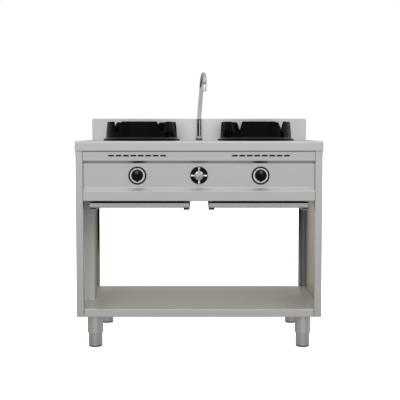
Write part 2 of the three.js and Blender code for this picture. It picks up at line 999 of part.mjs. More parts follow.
// ---- drip trays, bent from one sheet, on rectangular runners hung under the body
for (const [side, k] of [
  ["left", -1],
  ["right", 1],
]) {
  const x0 = Math.min(k * TRAY_X0, k * TRAY_X1);
  const x1 = Math.max(k * TRAY_X0, k * TRAY_X1);
  // a block with rounded lower edges, e inside the tray's outer faces
  const pan = (e, top) => {
    const section = (a, b) =>
      rounded(
        [
          [a + e, TRAY_Z0 + e],
          [b - e, TRAY_Z0 + e],
          [b - e, top],
          [a + e, top],
        ],
        [3.6 - e, 3.6 - e, 0, 0],
        3,
        true,
      );
    return alongX(section(TRAY_Y0, TRAY_Y1), x0 - 5, x1 + 5).intersect(
      alongY(section(x0, x1), TRAY_Y0 - 5, TRAY_Y1 + 5),
    );
  };
  piece(`${side}_drip_tray`, cut(pan(0, TRAY_Z1), pan(1.2, TRAY_Z1 + 5)), STEEL);
  for (const [end, x, d, w] of [
    ["inner", k * TRAY_X0, k, 23],
    ["outer", k * TRAY_X1, -k, 27],
  ]) {
    // d points from the tray's end towards its middle, w is the runner's inner edge
    const X = (a, b) => [Math.min(x + d * a, x + d * b), Math.max(x + d * a, x + d * b)];
    const [a0, a1] = X(0.6, w);
    const [b0, b1] = X(1.8, w - 1.2);
    const [w0, w1] = X(-1.6, -0.4);
    const [c0, c1] = X(-1.6, 1);
    const [f0, f1] = X(-1.6, 14);
    const runner = join(
      cut(
        box(a0, a1, 17, 583, 570.6, TRAY_Z0 - GAP),
        box(b0, b1, 0, 600, 573.4, TRAY_Z0 - GAP - 0.8),
      ),
      box(c0, c1, 17, 583, 570.6, 573),
      box(w0, w1, 17, 583, 571, BODY_BOTTOM - GAP),
      box(f0, f1, 17, 583, BODY_BOTTOM - GAP - 1.2, BODY_BOTTOM - GAP),
    );
    piece(`${side}_tray_${end}_runner`, runner, STEEL_DARK);
  }
}

// ---- legs: fixed tube with a plate under the shelf, and an adjustable foot inside it
for (const [row, y] of [
  ["front", LEG_Y[0]],
  ["rear", LEG_Y[1]],
])
  for (const [side, x] of [
    ["left", -LEG_X],
    ["right", LEG_X],
  ]) {
    const top = SHELF_TOP - SHEET - GAP;
    piece(
      `${row}_${side}_leg`,
      join(
        turned(
          [
            [30, LEG_Z],
            [LEG_R, LEG_Z],
            [LEG_R, top - 1],
            [30, top - 1],
            [30, LEG_Z],
          ],
          20,
          x,
          y,
        ),
        box(x - 34, x + 34, y - 34, y + 34, top - 3, top),
      ),
      STEEL,
    );
    piece(
      `${row}_${side}_foot`,
      turned(
        [
          [0, 0],
          [26.5, 0],
          [FOOT_R, 1.5],
          [FOOT_R, 112],
          [25.5, 112],
          [25.5, 6],
          [0, 6],
        ],
        20,
        x,
        y,
      ),
      STEEL,
    );
  }

export default range;
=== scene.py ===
# The looks of a two-burner wok range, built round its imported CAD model.
# Shapes are written in millimetres, X from the middle, Y from the front edge of the worktop
# towards the back and Z from the floor, and turned into the frame's metres when a mesh is made.
import json
import math
import random

import bpy
from mathutils import Matrix, Quaternion, Vector

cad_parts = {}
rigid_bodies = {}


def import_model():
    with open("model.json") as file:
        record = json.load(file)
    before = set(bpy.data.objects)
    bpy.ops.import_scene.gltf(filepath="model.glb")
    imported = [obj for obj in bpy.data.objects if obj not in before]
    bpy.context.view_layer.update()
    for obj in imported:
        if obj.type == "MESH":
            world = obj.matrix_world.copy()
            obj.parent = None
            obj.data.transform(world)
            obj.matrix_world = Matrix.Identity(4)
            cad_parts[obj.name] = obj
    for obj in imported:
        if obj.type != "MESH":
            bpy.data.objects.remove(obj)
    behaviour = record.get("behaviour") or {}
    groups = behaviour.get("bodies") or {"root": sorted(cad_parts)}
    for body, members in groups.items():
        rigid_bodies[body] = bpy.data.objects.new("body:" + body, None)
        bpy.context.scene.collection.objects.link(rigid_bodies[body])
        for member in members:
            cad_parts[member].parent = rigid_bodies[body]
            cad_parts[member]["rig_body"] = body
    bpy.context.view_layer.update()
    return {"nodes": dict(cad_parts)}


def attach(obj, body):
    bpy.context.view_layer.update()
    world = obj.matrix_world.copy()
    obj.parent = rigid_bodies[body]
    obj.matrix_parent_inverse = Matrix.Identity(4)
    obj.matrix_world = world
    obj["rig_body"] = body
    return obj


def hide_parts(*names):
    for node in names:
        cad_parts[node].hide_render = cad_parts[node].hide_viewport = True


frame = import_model()
random.seed(7)

YC = 296.0  # the frame's origin, behind the worktop's front edge
SHEET = 1.5


def M(p):
    return (p[0] / 1000.0, (p[1] - YC) / 1000.0, p[2] / 1000.0)


# ------------------------------------------------------------------ camera
cam = bpy.data.cameras.new("camera")
cam.sensor_width = 36.0
cam.lens = 78.88
cam.shift_y = -0.0154
cam.clip_end = 60.0
cam_ob = bpy.data.objects.new("camera", cam)
cam_ob.location = (0.004, -3.527 - YC / 1000.0, 0.8805)
cam_ob.rotation_euler = (math.radians(90 - 3.94), 0, 0)
bpy.context.scene.collection.objects.link(cam_ob)
bpy.context.scene.camera = cam_ob


# ------------------------------------------------------------------ materials
class Net:
    """A few helpers for writing node trees."""

    def __init__(self, tree):
        self.t = tree

    def node(self, kind, **kw):
        n = self.t.nodes.new(kind)
        for k, v in kw.items():
            setattr(n, k, v)
        return n

    def link(self, a, b):
        self.t.links.new(a, b)

    def feed(self, socket, v):
        if isinstance(v, (int, float, tuple)):
            socket.default_value = v
        else:
            self.link(v, socket)

    def rng(self, src, lo, hi, a=0.0, b=1.0, smooth=False):
        n = self.node("ShaderNodeMapRange")
        if smooth:
            n.interpolation_type = "SMOOTHSTEP"
        n.inputs["From Min"].default_value = a
        n.inputs["From Max"].default_value = b
        n.inputs["To Min"].default_value = lo
        n.inputs["To Max"].default_value = hi
        self.link(src, n.inputs["Value"])
        return n.outputs[0]

    def math(self, op, a, b=0.0):
        n = self.node("ShaderNodeMath", operation=op)
        self.feed(n.inputs[0], a)
        self.feed(n.inputs[1], b)
        return n.outputs[0]

    def mix(self, fac, c0, c1, blend="MIX"):
        n = self.node("ShaderNodeMix", data_type="RGBA", blend_type=blend)
        for i, c in ((6, c0), (7, c1)):
            self.feed(n.inputs[i], (*c, 1) if isinstance(c, tuple) else c)
        self.feed(n.inputs[0], fac)
        return n.outputs[2]

    def ramp(self, src, stops):
        n = self.node("ShaderNodeValToRGB")
        e = n.color_ramp.elements
        while len(e) < len(stops):
            e.new(0.5)
        for k, (at, c) in enumerate(stops):
            e[k].position = at
            e[k].color = (*c, 1) if isinstance(c, tuple) else (c, c, c, 1)
        self.link(src, n.inputs[0])
        return n.outputs[0]


class Mat(Net):
    """A principled material."""

    def __init__(self, name):
        self.m = bpy.data.materials.new(name)
        self.m.use_nodes = True
        super().__init__(self.m.node_tree)
        self.b = self.t.nodes["Principled BSDF"]
        self.co = self.t.nodes.new("ShaderNodeTexCoord").outputs["Object"]

    def set(self, name, v):
        self.b.inputs[name].default_value = v

    def mapped(self, scale, rot=(0, 0, 0)):
        n = self.node("ShaderNodeMapping")
        n.inputs["Scale"].default_value = scale
        n.inputs["Rotation"].default_value = rot
        self.link(self.co, n.inputs["Vector"])
        return n.outputs[0]

    def noise(self, scale, detail=3.0, rough=0.5, vec=None):
        n = self.node("ShaderNodeTexNoise")
        n.inputs["Scale"].default_value = scale
        n.inputs["Detail"].default_value = detail
        n.inputs["Roughness"].default_value = rough
        self.link(self.co if vec is None else vec, n.inputs["Vector"])
        return n.outputs["Fac"]

    def colour(self, fac, c0, c1):
        return self.mix(fac, c0, c1)

    def bump(self, src, strength, dist):
        n = self.node("ShaderNodeBump")
        n.inputs["Strength"].default_value = strength
        n.inputs["Distance"].default_value = dist
        self.link(src, n.inputs["Height"])
        self.link(n.outputs[0], self.b.inputs["Normal"])


def steel(name, base, rough, along="X", grain=1.0, metallic=1.0, painted_gradient=None):
    """Stainless sheet with a fine brushed grain along one axis and faint cloudy patches.
    painted_gradient is (axis, a, b, gain): painted light where gain is above 1 and painted shade where it is below 1;
    the colour is multiplied by gain from distance a to distance b."""
    m = Mat(name)
    k = {"X": (6, 900, 900), "Y": (900, 6, 900), "Z": (900, 900, 6)}[along]
    fine = m.noise(1.0, 2.0, 0.6, m.mapped(k))
    coarse = m.noise(1.0, 2.0, 0.5, m.mapped(tuple(v / 4.5 for v in k)))
    cloud = m.noise(5.5, 3.0, 0.55)
    both = m.math("ADD", m.math("MULTIPLY", fine, 0.6), m.math("MULTIPLY", coarse, 0.4))
    fac = m.math("ADD", m.math("MULTIPLY", both, 0.6), m.math("MULTIPLY", cloud, 0.4))
    d = 0.045 * grain
    shade = m.colour(
        m.rng(fac, 0, 1, 0.3, 0.7),
        tuple(c * (1 - d) for c in base),
        tuple(min(1, c * (1 + d)) for c in base),
    )
    if painted_gradient:
        axis, a, b, gain = painted_gradient
        xyz = m.node("ShaderNodeSeparateXYZ")
        m.link(m.co, xyz.inputs[0])
        far = m.rng(m.math("ABSOLUTE", xyz.outputs[axis]), 0.0, 1.0, a, b)
        shade = m.mix(far, shade, (gain, gain, gain), "MULTIPLY")
    m.link(shade, m.b.inputs["Base Color"])
    m.link(m.rng(fac, rough - 0.05, rough + 0.06, 0.3, 0.7), m.b.inputs["Roughness"])
    m.set("Metallic", metallic)
    m.bump(both, 0.05 * grain, 0.0004)
    return m.m


def plain_metal(name, base, rough, scale=40, bump=0.05, spread=0.1):
    m = Mat(name)
    f = m.noise(scale, 4.0, 0.6)
    m.link(
        m.colour(
            m.rng(f, 0, 1, 0.3, 0.7),
            tuple(c * (1 - spread) for c in base),
            tuple(min(1, c * (1 + spread)) for c in base),
        ),
        m.b.inputs["Base Color"],
    )
    m.link(m.rng(f, rough * 0.8, rough * 1.25, 0.3, 0.7), m.b.inputs["Roughness"])
    m.set("Metallic", 1.0)
    m.bump(m.noise(scale * 12, 2.0), bump, 0.0003)
    return m.m


def chrome(name="chrome_plate"):
    m = Mat(name)
    smudge = m.noise(60, 3.0)
    m.link(m.rng(smudge, 0.035, 0.11, 0.35, 0.7), m.b.inputs["Roughness"])
    m.link(
        m.colour(m.rng(smudge, 0, 1, 0.3, 0.7), (0.80, 0.80, 0.81), (0.88, 0.88, 0.88)),
        m.b.inputs["Base Color"],
    )
    m.set("Metallic", 1.0)
    return m.m


def cast_iron(name, base=(0.0020, 0.0018, 0.0016), rough=0.29, spec=0.055):
    """Black cast iron: sand-cast grain, darker hollows, slightly rubbed high spots."""
    m = Mat(name)
    grain = m.noise(420, 3.0, 0.65)
    lumps = m.noise(55, 4.0, 0.6)
    mix = m.math("ADD", m.math("MULTIPLY", grain, 0.5), m.math("MULTIPLY", lumps, 0.5))
    m.link(
        m.colour(
            m.rng(mix, 0, 1, 0.35, 0.7),
            tuple(c * 0.7 for c in base),
            tuple(c * 1.7 for c in base),
        ),
        m.b.inputs["Base Color"],
    )
    m.link(m.rng(mix, rough - 0.08, rough + 0.12, 0.35, 0.7), m.b.inputs["Roughness"])
    m.set("Metallic", 0.0)
    m.set("Specular IOR Level", spec)
    m.bump(mix, 0.2, 0.0008)
    return m.m


def moulding(name, base, rough, spec=0.5, bump=0.03, scale=900):
    m = Mat(name)
    n = m.noise(scale, 2.0)
    big = m.noise(70, 3.0)
    m.link(
        m.colour(
            m.rng(big, 0, 1, 0.3, 0.7), tuple(c * 0.85 for c in base), tuple(c * 1.15 for c in base)
        ),
        m.b.inputs["Base Color"],
    )
    m.link(m.rng(big, rough - 0.04, rough + 0.05, 0.3, 0.7), m.b.inputs["Roughness"])
    m.set("Specular IOR Level", spec)
    m.bump(n, bump, 0.0002)
    return m.m


def post_steel(name, stops, tint=(1.0, 0.99, 0.97), edge=None):
    """Inner faces of a rear post: dull sheet with painted shade that darkens it towards the top,
    under the body. stops are (height in metres, grey)."""
    m = Mat(name)
    z = m.node("ShaderNodeSeparateXYZ")
    m.link(m.co, z.inputs[0])
    cloud = m.math("MULTIPLY", m.math("SUBTRACT", m.noise(9.0, 3.0), 0.5), 0.06)
    h = m.math("ADD", z.outputs["Z"], cloud)
    shade = m.ramp(h, [(a, tuple(v * t for t in tint)) for a, v in stops])
    if edge:
        # the outer edge of the lip, painted lighter: a painted lit edge against the painted shade
        far = m.rng(m.math("ABSOLUTE", z.outputs["X"]), 0.0, 1.0, 0.4762, 0.4778, True)
        shade = m.mix(far, shade, edge)
    fine = m.noise(1.0, 2.0, 0.6, m.mapped((900, 900, 6)))
    m.link(
        m.mix(m.rng(fine, 0.0, 0.12, 0.3, 0.7), shade, (0.0, 0.0, 0.0)), m.b.inputs["Base Color"]
    )
    m.link(m.rng(fine, 0.46, 0.58, 0.3, 0.7), m.b.inputs["Roughness"])
    m.set("Metallic", 0.55)
    m.set("Specular IOR Level", 0.0)
    m.bump(fine, 0.05, 0.0004)
    return m.m


BASE = (0.575, 0.573, 0.562)
MAT = {
    "steel_x": steel("stainless_brushed_x", BASE, 0.34, "X"),
    "steel_y": steel("stainless_brushed_y", BASE, 0.34, "Y"),
    "steel_z": steel("stainless_brushed_z", BASE, 0.34, "Z"),
    "steel_in": steel("stainless_mill", (0.34, 0.33, 0.315), 0.42, "X", 1.3),
    "steel_leg": steel("stainless_leg", (0.56, 0.555, 0.547), 0.47, "Z"),
    # the shelf plate is painted lighter near both ends: a painted reflection of the duct
    "steel_shelf": steel("stainless_shelf", (0.60, 0.582, 0.545), 0.46, "X", 1.0, 0.4, ("X", 0.405, 0.455, 1.28)),
    "steel_fold": steel("stainless_fold", (0.60, 0.598, 0.586), 0.50, "X", 1.0, 0.7),
    # the duct cover is a lighter, partly diffuse sheet, painted lighter still towards its foot: painted light
    "steel_duct": steel("stainless_duct", (0.76, 0.75, 0.73), 0.55, "Z", 1.0, 0.5, ("Z", 0.50, 0.20, 1.12)),
    "steel_top": steel("stainless_worktop", (0.603, 0.601, 0.590), 0.34, "X"),
    # the side panels are painted darker towards the floor: painted shade
    "steel_side": steel("stainless_side", (0.606, 0.604, 0.592), 0.34, "Z", painted_gradient=("Z", 0.82, 0.14, 0.88)),
    # the splashback is painted brighter than the other sheets and darker towards its ends: painted light and painted
    # shade
    "steel_splash": steel("stainless_splash", (0.77, 0.767, 0.752), 0.32, "X", painted_gradient=("X", 0.10, 0.42, 0.83)),
    "steel_tray": steel("stainless_tray", (0.46, 0.455, 0.44), 0.36, "X"),
    "face": steel("dial_face", (0.70, 0.70, 0.70), 0.24, "X", 0.6),
    "iron": cast_iron("cast_iron_black"),
    # lighter, glossier iron for the ring's fillet: a painted highlight
    "iron_painted_sheen": cast_iron("cast_iron_painted_sheen", (0.009, 0.008, 0.0075), 0.30, 0.32),
    "iron_in": cast_iron("cast_iron_burner", (0.03, 0.028, 0.026), 0.62, 0.3),
    "chrome": chrome(),
    # the hub's chrome is painted darker: painted shade
    "chrome_hub": plain_metal("chrome_painted_dim", (0.50, 0.50, 0.49), 0.15, 60, 0.03, 0.15),
    # near-black chrome for the collar under the spout: a painted shadow line
    "chrome_dark": plain_metal("joint_painted_shadow", (0.10, 0.095, 0.09), 0.4),
    "black": moulding("black_moulding", (0.003, 0.003, 0.003), 0.24, 0.09),
    # lighter, glossier black for the knob's crown: a painted highlight
    "black_sheen": moulding("black_painted_highlight", (0.030, 0.030, 0.029), 0.32, 0.9),
    # dark chrome for the tap column: painted shade
    "tap_post": plain_metal("chrome_painted_dark", (0.13, 0.126, 0.110), 0.16, 30, 0.02, 0.25),
    "tap_bend": plain_metal("bend_top_chrome", (0.40, 0.395, 0.385), 0.16, 60, 0.05, 0.35),
    # lighter chrome for the column's shoulder: painted light
    "tap_base": plain_metal("chrome_painted_light", (0.30, 0.295, 0.28), 0.24, 30, 0.02, 0.2),
    "tap_tube": steel("satin_chrome", (0.93, 0.93, 0.935), 0.44, "Z", 0.5, 0.3),
    "black_matt": moulding("black_matt_moulding", (0.010, 0.0095, 0.009), 0.45, 0.25, 0.08, 500),
    "foot": moulding("black_foot_plastic", (0.02, 0.02, 0.02), 0.55, 0.35, 0.06, 500),
    # near-black tray interior: painted shade
    "tray_painted_shade": moulding("dark_tray_floor", (0.004, 0.0035, 0.003), 0.5, 0.15, 0.05, 200),
    # near-black sheets that stand for a dark interior: painted shade
    "void": moulding("dark_hollow", (0.003, 0.003, 0.003), 0.7, 0.05, 0.02, 200),
    "brass": plain_metal("brass_turned", (0.55, 0.40, 0.19), 0.34),
    "copper": plain_metal("copper_tube", (0.58, 0.30, 0.18), 0.36),
    "zinc": plain_metal("zinc_plate", (0.48, 0.48, 0.47), 0.42),
    "alu": plain_metal("aluminium_tube", (0.62, 0.63, 0.64), 0.38),
    "mark": moulding("dial_mark", (0.02, 0.02, 0.02), 0.6, 0.2),
    # darker sheets for the rear posts' lips and back flanges: painted shade, darker towards the top; the lips keep a
    # painted lit outer edge, the left flange a warm tint as painted reflection of the room
    "lip_l": post_steel("post_lip_left", [(0.0, 0.85), (0.28, 0.62), (0.345, 0.16), (0.39, 0.015), (1.0, 0.012)], edge=(0.50, 0.45, 0.38)),
    "lip_r": post_steel("post_lip_right", [(0.0, 0.62), (0.28, 0.50), (0.40, 0.20), (0.47, 0.04), (0.53, 0.012)], edge=(0.26, 0.255, 0.245)),
    "flange_l": post_steel("post_back_left", [(0.0, 0.58), (1.0, 0.50)], (1.0, 0.94, 0.85)),
    "flange_r": post_steel("post_back_right", [(0.0, 0.55), (0.40, 0.44), (1.0, 0.34)]),
}


# ------------------------------------------------------------------ shapes
def rounded(pts, r, n=6, closed=False):
    """Corners of a line replaced by arcs."""
    out = []
    N = len(pts)
    for i, p in enumerate(pts):
        if not closed and i in (0, N - 1):
            out.append(tuple(p))
            continue
        R = r[i] if isinstance(r, (list, tuple)) else r
        a, b, c = (Vector(pts[(i - 1) % N]), Vector(p), Vector(pts[(i + 1) % N]))
        u, v = (a - b).normalized(), (c - b).normalized()
        ang = math.acos(max(-1, min(1, u.dot(v))))
        if not R or ang > 3.1:
            out.append(tuple(p))
            continue
        d = R / math.tan(ang / 2)
        mid = b + (u + v).normalized() * (R / math.sin(ang / 2))
        s, e = b + u * d - mid, b + v * d - mid
        t0, t1 = math.atan2(s.y, s.x), math.atan2(e.y, e.x)
        if t1 - t0 > math.pi:
            t1 -= 2 * math.pi
        if t0 - t1 > math.pi:
            t1 += 2 * math.pi
        for k in range(n + 1):
            t = t0 + (t1 - t0) * k / n
            out.append((mid.x + R * math.cos(t), mid.y + R * math.sin(t)))
    return out


def folded(line, t):
    """Outline of folded sheet: its outer line, and the same line moved in by the thickness."""
    n = len(line)
    other = []
    for i, p in enumerate(line):
        dirs = []
        if i > 0:
            dirs.append((Vector(p) - Vector(line[i - 1])).normalized())
        if i < n - 1:
            dirs.append((Vector(line[i + 1]) - Vector(p)).normalized())
        normals = [Vector((-d.y, d.x)) for d in dirs]
        m = sum(normals, Vector((0, 0))).normalized()
        q = Vector(p) + m * (t / m.dot(normals[0]))
        other.append((q.x, q.y))
    return list(line) + other[::-1]


def mesh(name, verts, faces, mat=None, angle=32.0, mm=True):
    me = bpy.data.meshes.new(name)
    me.from_pydata([M(v) if mm else v for v in verts], [], faces)
    me.validate()
    ob = bpy.data.objects.new(name, me)
    bpy.context.scene.collection.objects.link(ob)
    if mat:
        me.materials.append(MAT[mat])
    fix_normals(ob)
    smooth(ob, angle)
    return ob


def fix_normals(ob):
    import bmesh

    bm = bmesh.new()
    bm.from_mesh(ob.data)
    bmesh.ops.recalc_face_normals(bm, faces=bm.faces)
    bm.to_mesh(ob.data)
    bm.free()


def smooth(ob, angle=32.0):
    for p in ob.data.polygons:
        p.use_smooth = True
    ob.data.set_sharp_from_angle(angle=math.radians(angle))


def extrude(name, poly, axis, a0, a1, mat=None, angle=32.0):
    """A closed outline pushed along an axis. poly is (y, z) for X, (x, z) for Y, (x, y) for Z."""
    n = len(poly)
    put = {
        "X": lambda p, a: (a, p[0], p[1]),
        "Y": lambda p, a: (p[0], a, p[1]),
        "Z": lambda p, a: (p[0], p[1], a),
    }[axis]
    verts = [put(p, a0) for p in poly] + [put(p, a1) for p in poly]
    faces = [list(range(n))[::-1], list(range(n, 2 * n))]
    faces += [[i, (i + 1) % n, n + (i + 1) % n, n + i] for i in range(n)]
    return mesh(name, verts, faces, mat, angle)


def block(name, x0, x1, y0, y1, z0, z1, mat=None):
    return extrude(name, [(y0, z0), (y1, z0), (y1, z1), (y0, z1)], "X", x0, x1, mat)


def lathe(name, profile, n, axis, centre, mat=None, angle=32.0):
    """A profile of (radius, distance) turned about an axis through centre. A profile that
    doesn't start and end on the axis is closed on itself."""
    cx, cy, cz = centre
    verts, rings = [], []
    for r, a in profile:
        ring = []
        for k in range(n if r > 1e-6 else 1):
            t = 2 * math.pi * k / n
            c, s = r * math.cos(t), r * math.sin(t)
            verts.append(
                {
                    "Z": (cx + c, cy + s, cz + a),
                    "Y": (cx + c, cy + a, cz + s),
                    "X": (cx + a, cy + c, cz + s),
                }[axis]
            )
            ring.append(len(verts) - 1)
        rings.append(ring)
    faces = []
    pairs = list(zip(rings, rings[1:]))
    if len(rings[0]) > 1 or len(rings[-1]) > 1:
        pairs.append((rings[-1], rings[0]))
    for a, b in pairs:
        for k in range(n):
            j = (k + 1) % n
            if len(a) == 1 and len(b) == 1:
                continue
            if len(a) == 1:
                faces.append([a[0], b[k], b[j]])
            elif len(b) == 1:
                faces.append([a[k], b[0], a[j]])
            else:
                faces.append([a[k], b[k], b[j], a[j]])
    return mesh(name, verts, faces, mat, angle)


def sweep(name, pts, radius, sides=24, mat=None, bore=None, angle=32.0):
    """A round tube along points, with frames that don't twist. radius may be a list."""
    P = [Vector(p) for p in pts]
    R = radius if isinstance(radius, (list, tuple)) else [radius] * len(P)
    tang = []
    for i in range(len(P)):
        a, b = P[max(0, i - 1)], P[min(len(P) - 1, i + 1)]
        tang.append((b - a).normalized())
    up = Vector((0, 0, 1)) if abs(tang[0].z) < 0.9 else Vector((0, 1, 0))
    u = tang[0].cross(up).normalized()
    verts, rings = [], []
    for i, p in enumerate(P):
        if i:
            q = tang[i - 1].rotation_difference(tang[i])
            u = (q @ u).normalized()
        w = tang[i].cross(u)
        rings.append([])
        for k in range(sides):
            t = 2 * math.pi * k / sides
            v = p + (u * math.cos(t) + w * math.sin(t)) * R[i]
            verts.append(tuple(v))
            rings[-1].append(len(verts) - 1)
    faces = []
    for a, b in zip(rings, rings[1:]):
        for k in range(sides):
            j = (k + 1) % sides
            faces.append([a[k], a[j], b[j], b[k]])
    if bore:
        inner = []
        u = None
        for i, p in enumerate(P):
            o = Vector(verts[rings[i][0]])
            inner.append([])
            for k in range(sides):
                v = p + (Vector(verts[rings[i][k]]) - p) * (bore / R[i])
                verts.append(tuple(v))
                inner[-1].append(len(verts) - 1)
        for a, b in zip(inner, inner[1:]):
            for k in range(sides):
                j = (k + 1) % sides
                faces.append([a[j], a[k], b[k], b[j]])
        for a, b in ((rings[0], inner[0]), (inner[-1], rings[-1])):
            for k in range(sides):
                j = (k + 1) % sides
                faces.append([a[j], a[k], b[k], b[j]])
    else:
        faces += [rings[0][::-1], rings[-1]]
    return mesh(name, verts, faces, mat, angle)


def bent(points, bend, per=8):
    """A line of points with its corners replaced by smooth bends."""
    v = [Vector(p) for p in points]
    out = [v[0]]
    for i in range(1, len(v) - 1):
        d = min(bend, (v[i] - v[i - 1]).length * 0.49, (v[i + 1] - v[i]).length * 0.49)
        a = v[i] + (v[i - 1] - v[i]).normalized() * d
        b = v[i] + (v[i + 1] - v[i]).normalized() * d
        for k in range(per + 1):
            t = k / per
            out.append(a * (1 - t) ** 2 + v[i] * 2 * t * (1 - t) + b * t * t)
    out.append(v[-1])
    return [tuple(p) for p in out]


def baked(ob):
    """Applies the object's modifiers to its mesh."""
    dg = bpy.context.evaluated_depsgraph_get()
    dg.update()
    me = bpy.data.meshes.new_from_object(ob.evaluated_get(dg), depsgraph=dg)
    old = ob.data
    ob.modifiers.clear()
    ob.data = me
    bpy.data.meshes.remove(old)
    return ob


def drop(*obs):
    for o in obs:
        me = o.data
        bpy.data.objects.remove(o)
        if me and me.users == 0:
            bpy.data.meshes.remove(me)


def carve(ob, *tools, op="DIFFERENCE", angle=32.0):
    """Cuts the tools out of ob, or joins them to it. The tools are used up."""
    for t in tools:
        m = ob.modifiers.new("b", "BOOLEAN")
        m.operation = op
        m.solver = "EXACT"
        m.object = t
        baked(ob)
    drop(*tools)
    smooth(ob, angle)
    return ob


def merged(name, obs):
    """Several meshes as one object, each keeping its own materials."""
    import bmesh

    me = bpy.data.meshes.new(name)
    bm = bmesh.new()
    mats = []
    for o in obs:
        local = []
        for mt in o.data.materials:
            if mt not in mats:
                mats.append(mt)
            local.append(mats.index(mt))
        n0 = len(bm.faces)
        bm.from_mesh(o.data)
        bm.faces.ensure_lookup_table()
        for f in bm.faces[n0:]:
            f.material_index = local[f.material_index] if local else 0
    bm.to_mesh(me)
    bm.free()
    for mt in mats:
        me.materials.append(mt)
    ob = bpy.data.objects.new(name, me)
    bpy.context.scene.collection.objects.link(ob)
    drop(*obs)
    return ob


def soften(ob, width=0.4, segments=2, angle=35.0):
    """A small bevel on sharp edges, with normals weighted to the large faces."""
    b = ob.modifiers.new("edge", "BEVEL")
    b.width = width / 1000.0
    b.segments = segments
    b.limit_method = "ANGLE"
    b.angle_limit = math.radians(angle)
    b.harden_normals = False
    w = ob.modifiers.new("normals", "WEIGHTED_NORMAL")
    w.keep_sharp = True
    return ob


def put(ob, node, slot=None):
    """ob stands for a CAD node and moves with its body."""
    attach(ob, frame["nodes"][node]["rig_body"])
    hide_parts(node)
    return ob


def add(ob, body, slot=None):
    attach(ob, body)
    return ob


def paint(ob, name):
    ob.data.materials.clear()
    ob.data.materials.append(MAT[name])


def screw(name, x, y, z, axis, r=4.0, h=2.2, mat="zinc"):
    """A pan-head screw with a cross recess, its head facing along the axis given ('+Y' ...)."""
    prof = [(0, 0), (r, 0), (r, h * 0.35), (r * 0.86, h * 0.75), (r * 0.5, h), (0, h)]
    sgn = 1 if axis[0] == "+" else -1
    head = lathe(name, [(a, b * sgn) for a, b in prof], 20, axis[1], (x, y, z), mat)
    s = r * 0.55
    w = 0.55
    lo, hi = sorted((h * 0.45 * sgn, (h + 1) * sgn))
    if axis[1] == "Y":
        c1 = block("c", x - s, x + s, y + lo, y + hi, z - w, z + w)
        c2 = block("c", x - w, x + w, y + lo, y + hi, z - s, z + s)
    elif axis[1] == "Z":
        c1 = block("c", x - s, x + s, y - w, y + w, z + lo, z + hi)
        c2 = block("c", x - w, x + w, y - s, y + s, z + lo, z + hi)
    else:
        c1 = block("c", x + lo, x + hi, y - s, y + s, z - w, z + w)
        c2 = block("c", x + lo, x + hi, y - w, y + w, z - s, z + s)
    return carve(head, c1, c2)


STEEL = "brushed_stainless"


# ------------------------------------------------------------------ worktop
def make_worktop():
    line = rounded(
        [(4, 810), (0, 810), (0, 850), (600, 850), (600, 780)], [0, 2.3, 8, 2.2, 0], 8
    )
    top = extrude("worktop_top", line, "X", -500, 500, "steel_top")
    # rounded side and corner folds
    b = top.modifiers.new("fold", "BEVEL")
    b.width = 0.0022
    b.segments = 4
    b.limit_method = "ANGLE"
    b.angle_limit = math.radians(60)
    baked(top)
    inner = extrude(
        "c",
        rounded([(1.5, 700), (1.5, 848.5), (598.5, 848.5), (598.5, 700)], [0, 6.5, 1, 0], 8),
        "X",
        -498.5,
        498.5,
    )
    carve(top, inner, block("c", -600, 600, -100, 700, 700, 810))
    for x in (-250, 250):
        carve(top, lathe("c", [(0, 840), (140, 840), (140, 860), (0, 860)], 120, "Z", (x, 300, 0)))
    carve(top, lathe("c", [(0, 840), (11.5, 840), (11.5, 860), (0, 860)], 40, "Z", (0, 530, 0)))
    parts = [top]
    # turned-down lip round each burner opening
    for x in (-250, 250):
        prof = [(140, 849.9), (141.4, 849.7), (141.4, 844), (140, 844)]
        parts.append(lathe("lip", prof, 120, "Z", (x, 300, 0), "steel_x"))
    # flattened hem along the apron's lower front edge
    hem = rounded([(0.9, 810), (12.3, 810), (12.3, 811.6), (0.9, 811.6)], 0.75, 4, True)
    parts.append(extrude("hem", hem, "X", -498.4, 498.4, "steel_x"))
    ob = merged("worktop_sheet", parts)
    soften(ob, 0.25, 2)
    return put(ob, "worktop", STEEL)


def make_backsplash():
    def outline(w, z0, z1, r):
        return rounded([(-w, z0), (w, z0), (w, z1), (-w, z1)], [0, 0, r, r], 10, True)

    ob = extrude("splash", outline(500, 800, 950, 7.5), "Y", 585, 600, "steel_splash")
    b = ob.modifiers.new("fold", "BEVEL")
    b.width = 0.0018
    b.segments = 4
    b.limit_method = "ANGLE"
    b.angle_limit = math.radians(60)
    baked(ob)
    cav = extrude("c", outline(498.5, 700, 948.5, 6), "Y", 586.5, 598.5)
    carve(ob, cav, block("c", -600, 600, 500, 700, 700, 850.3))
    ob.name = "splashback_sheet"
    # a small bevel on the sharp edges
    soften(ob, 0.25, 2)
    return put(ob, "backsplash", STEEL)


def make_sides():
    line = rounded(
        [(-470, 30), (-470, 13.5), (-500, 13.5), (-500, 586), (-468, 586), (-468, 571), (-483, 571)],
        [0, 2.5, 2.5, 2.5, 2.5, 2.5, 0],
        6,
    )
    for side, k in (("left", 1), ("right", -1)):
        poly = [(k * x, y) for x, y in folded(line, -SHEET)]
        ob = extrude(f"{side}_side_sheet", poly, "Z", 131.5, 809.7, "steel_side")
        # the rear lips and back flanges take darker sheets: painted shade, darker towards the top
        for name in (f"lip_{side[0]}", f"flange_{side[0]}"):
            ob.data.materials.append(MAT[name])
        for p in ob.data.polygons:
            x, y = abs(p.center.x) * 1000, p.center.y * 1000 + YC
            if p.normal.y < -0.5 and 567 < y < 573:
                p.material_index = 1
            elif 482 < x < 498.4 and p.normal.y < -0.5 and 580 < y < 586:
                p.material_index = 2
            elif 467 < x < 484 and 571.5 < y < 585:
                p.material_index = 2
        soften(ob, 0.25, 2)
        put(ob, f"{side}_side_panel", STEEL)


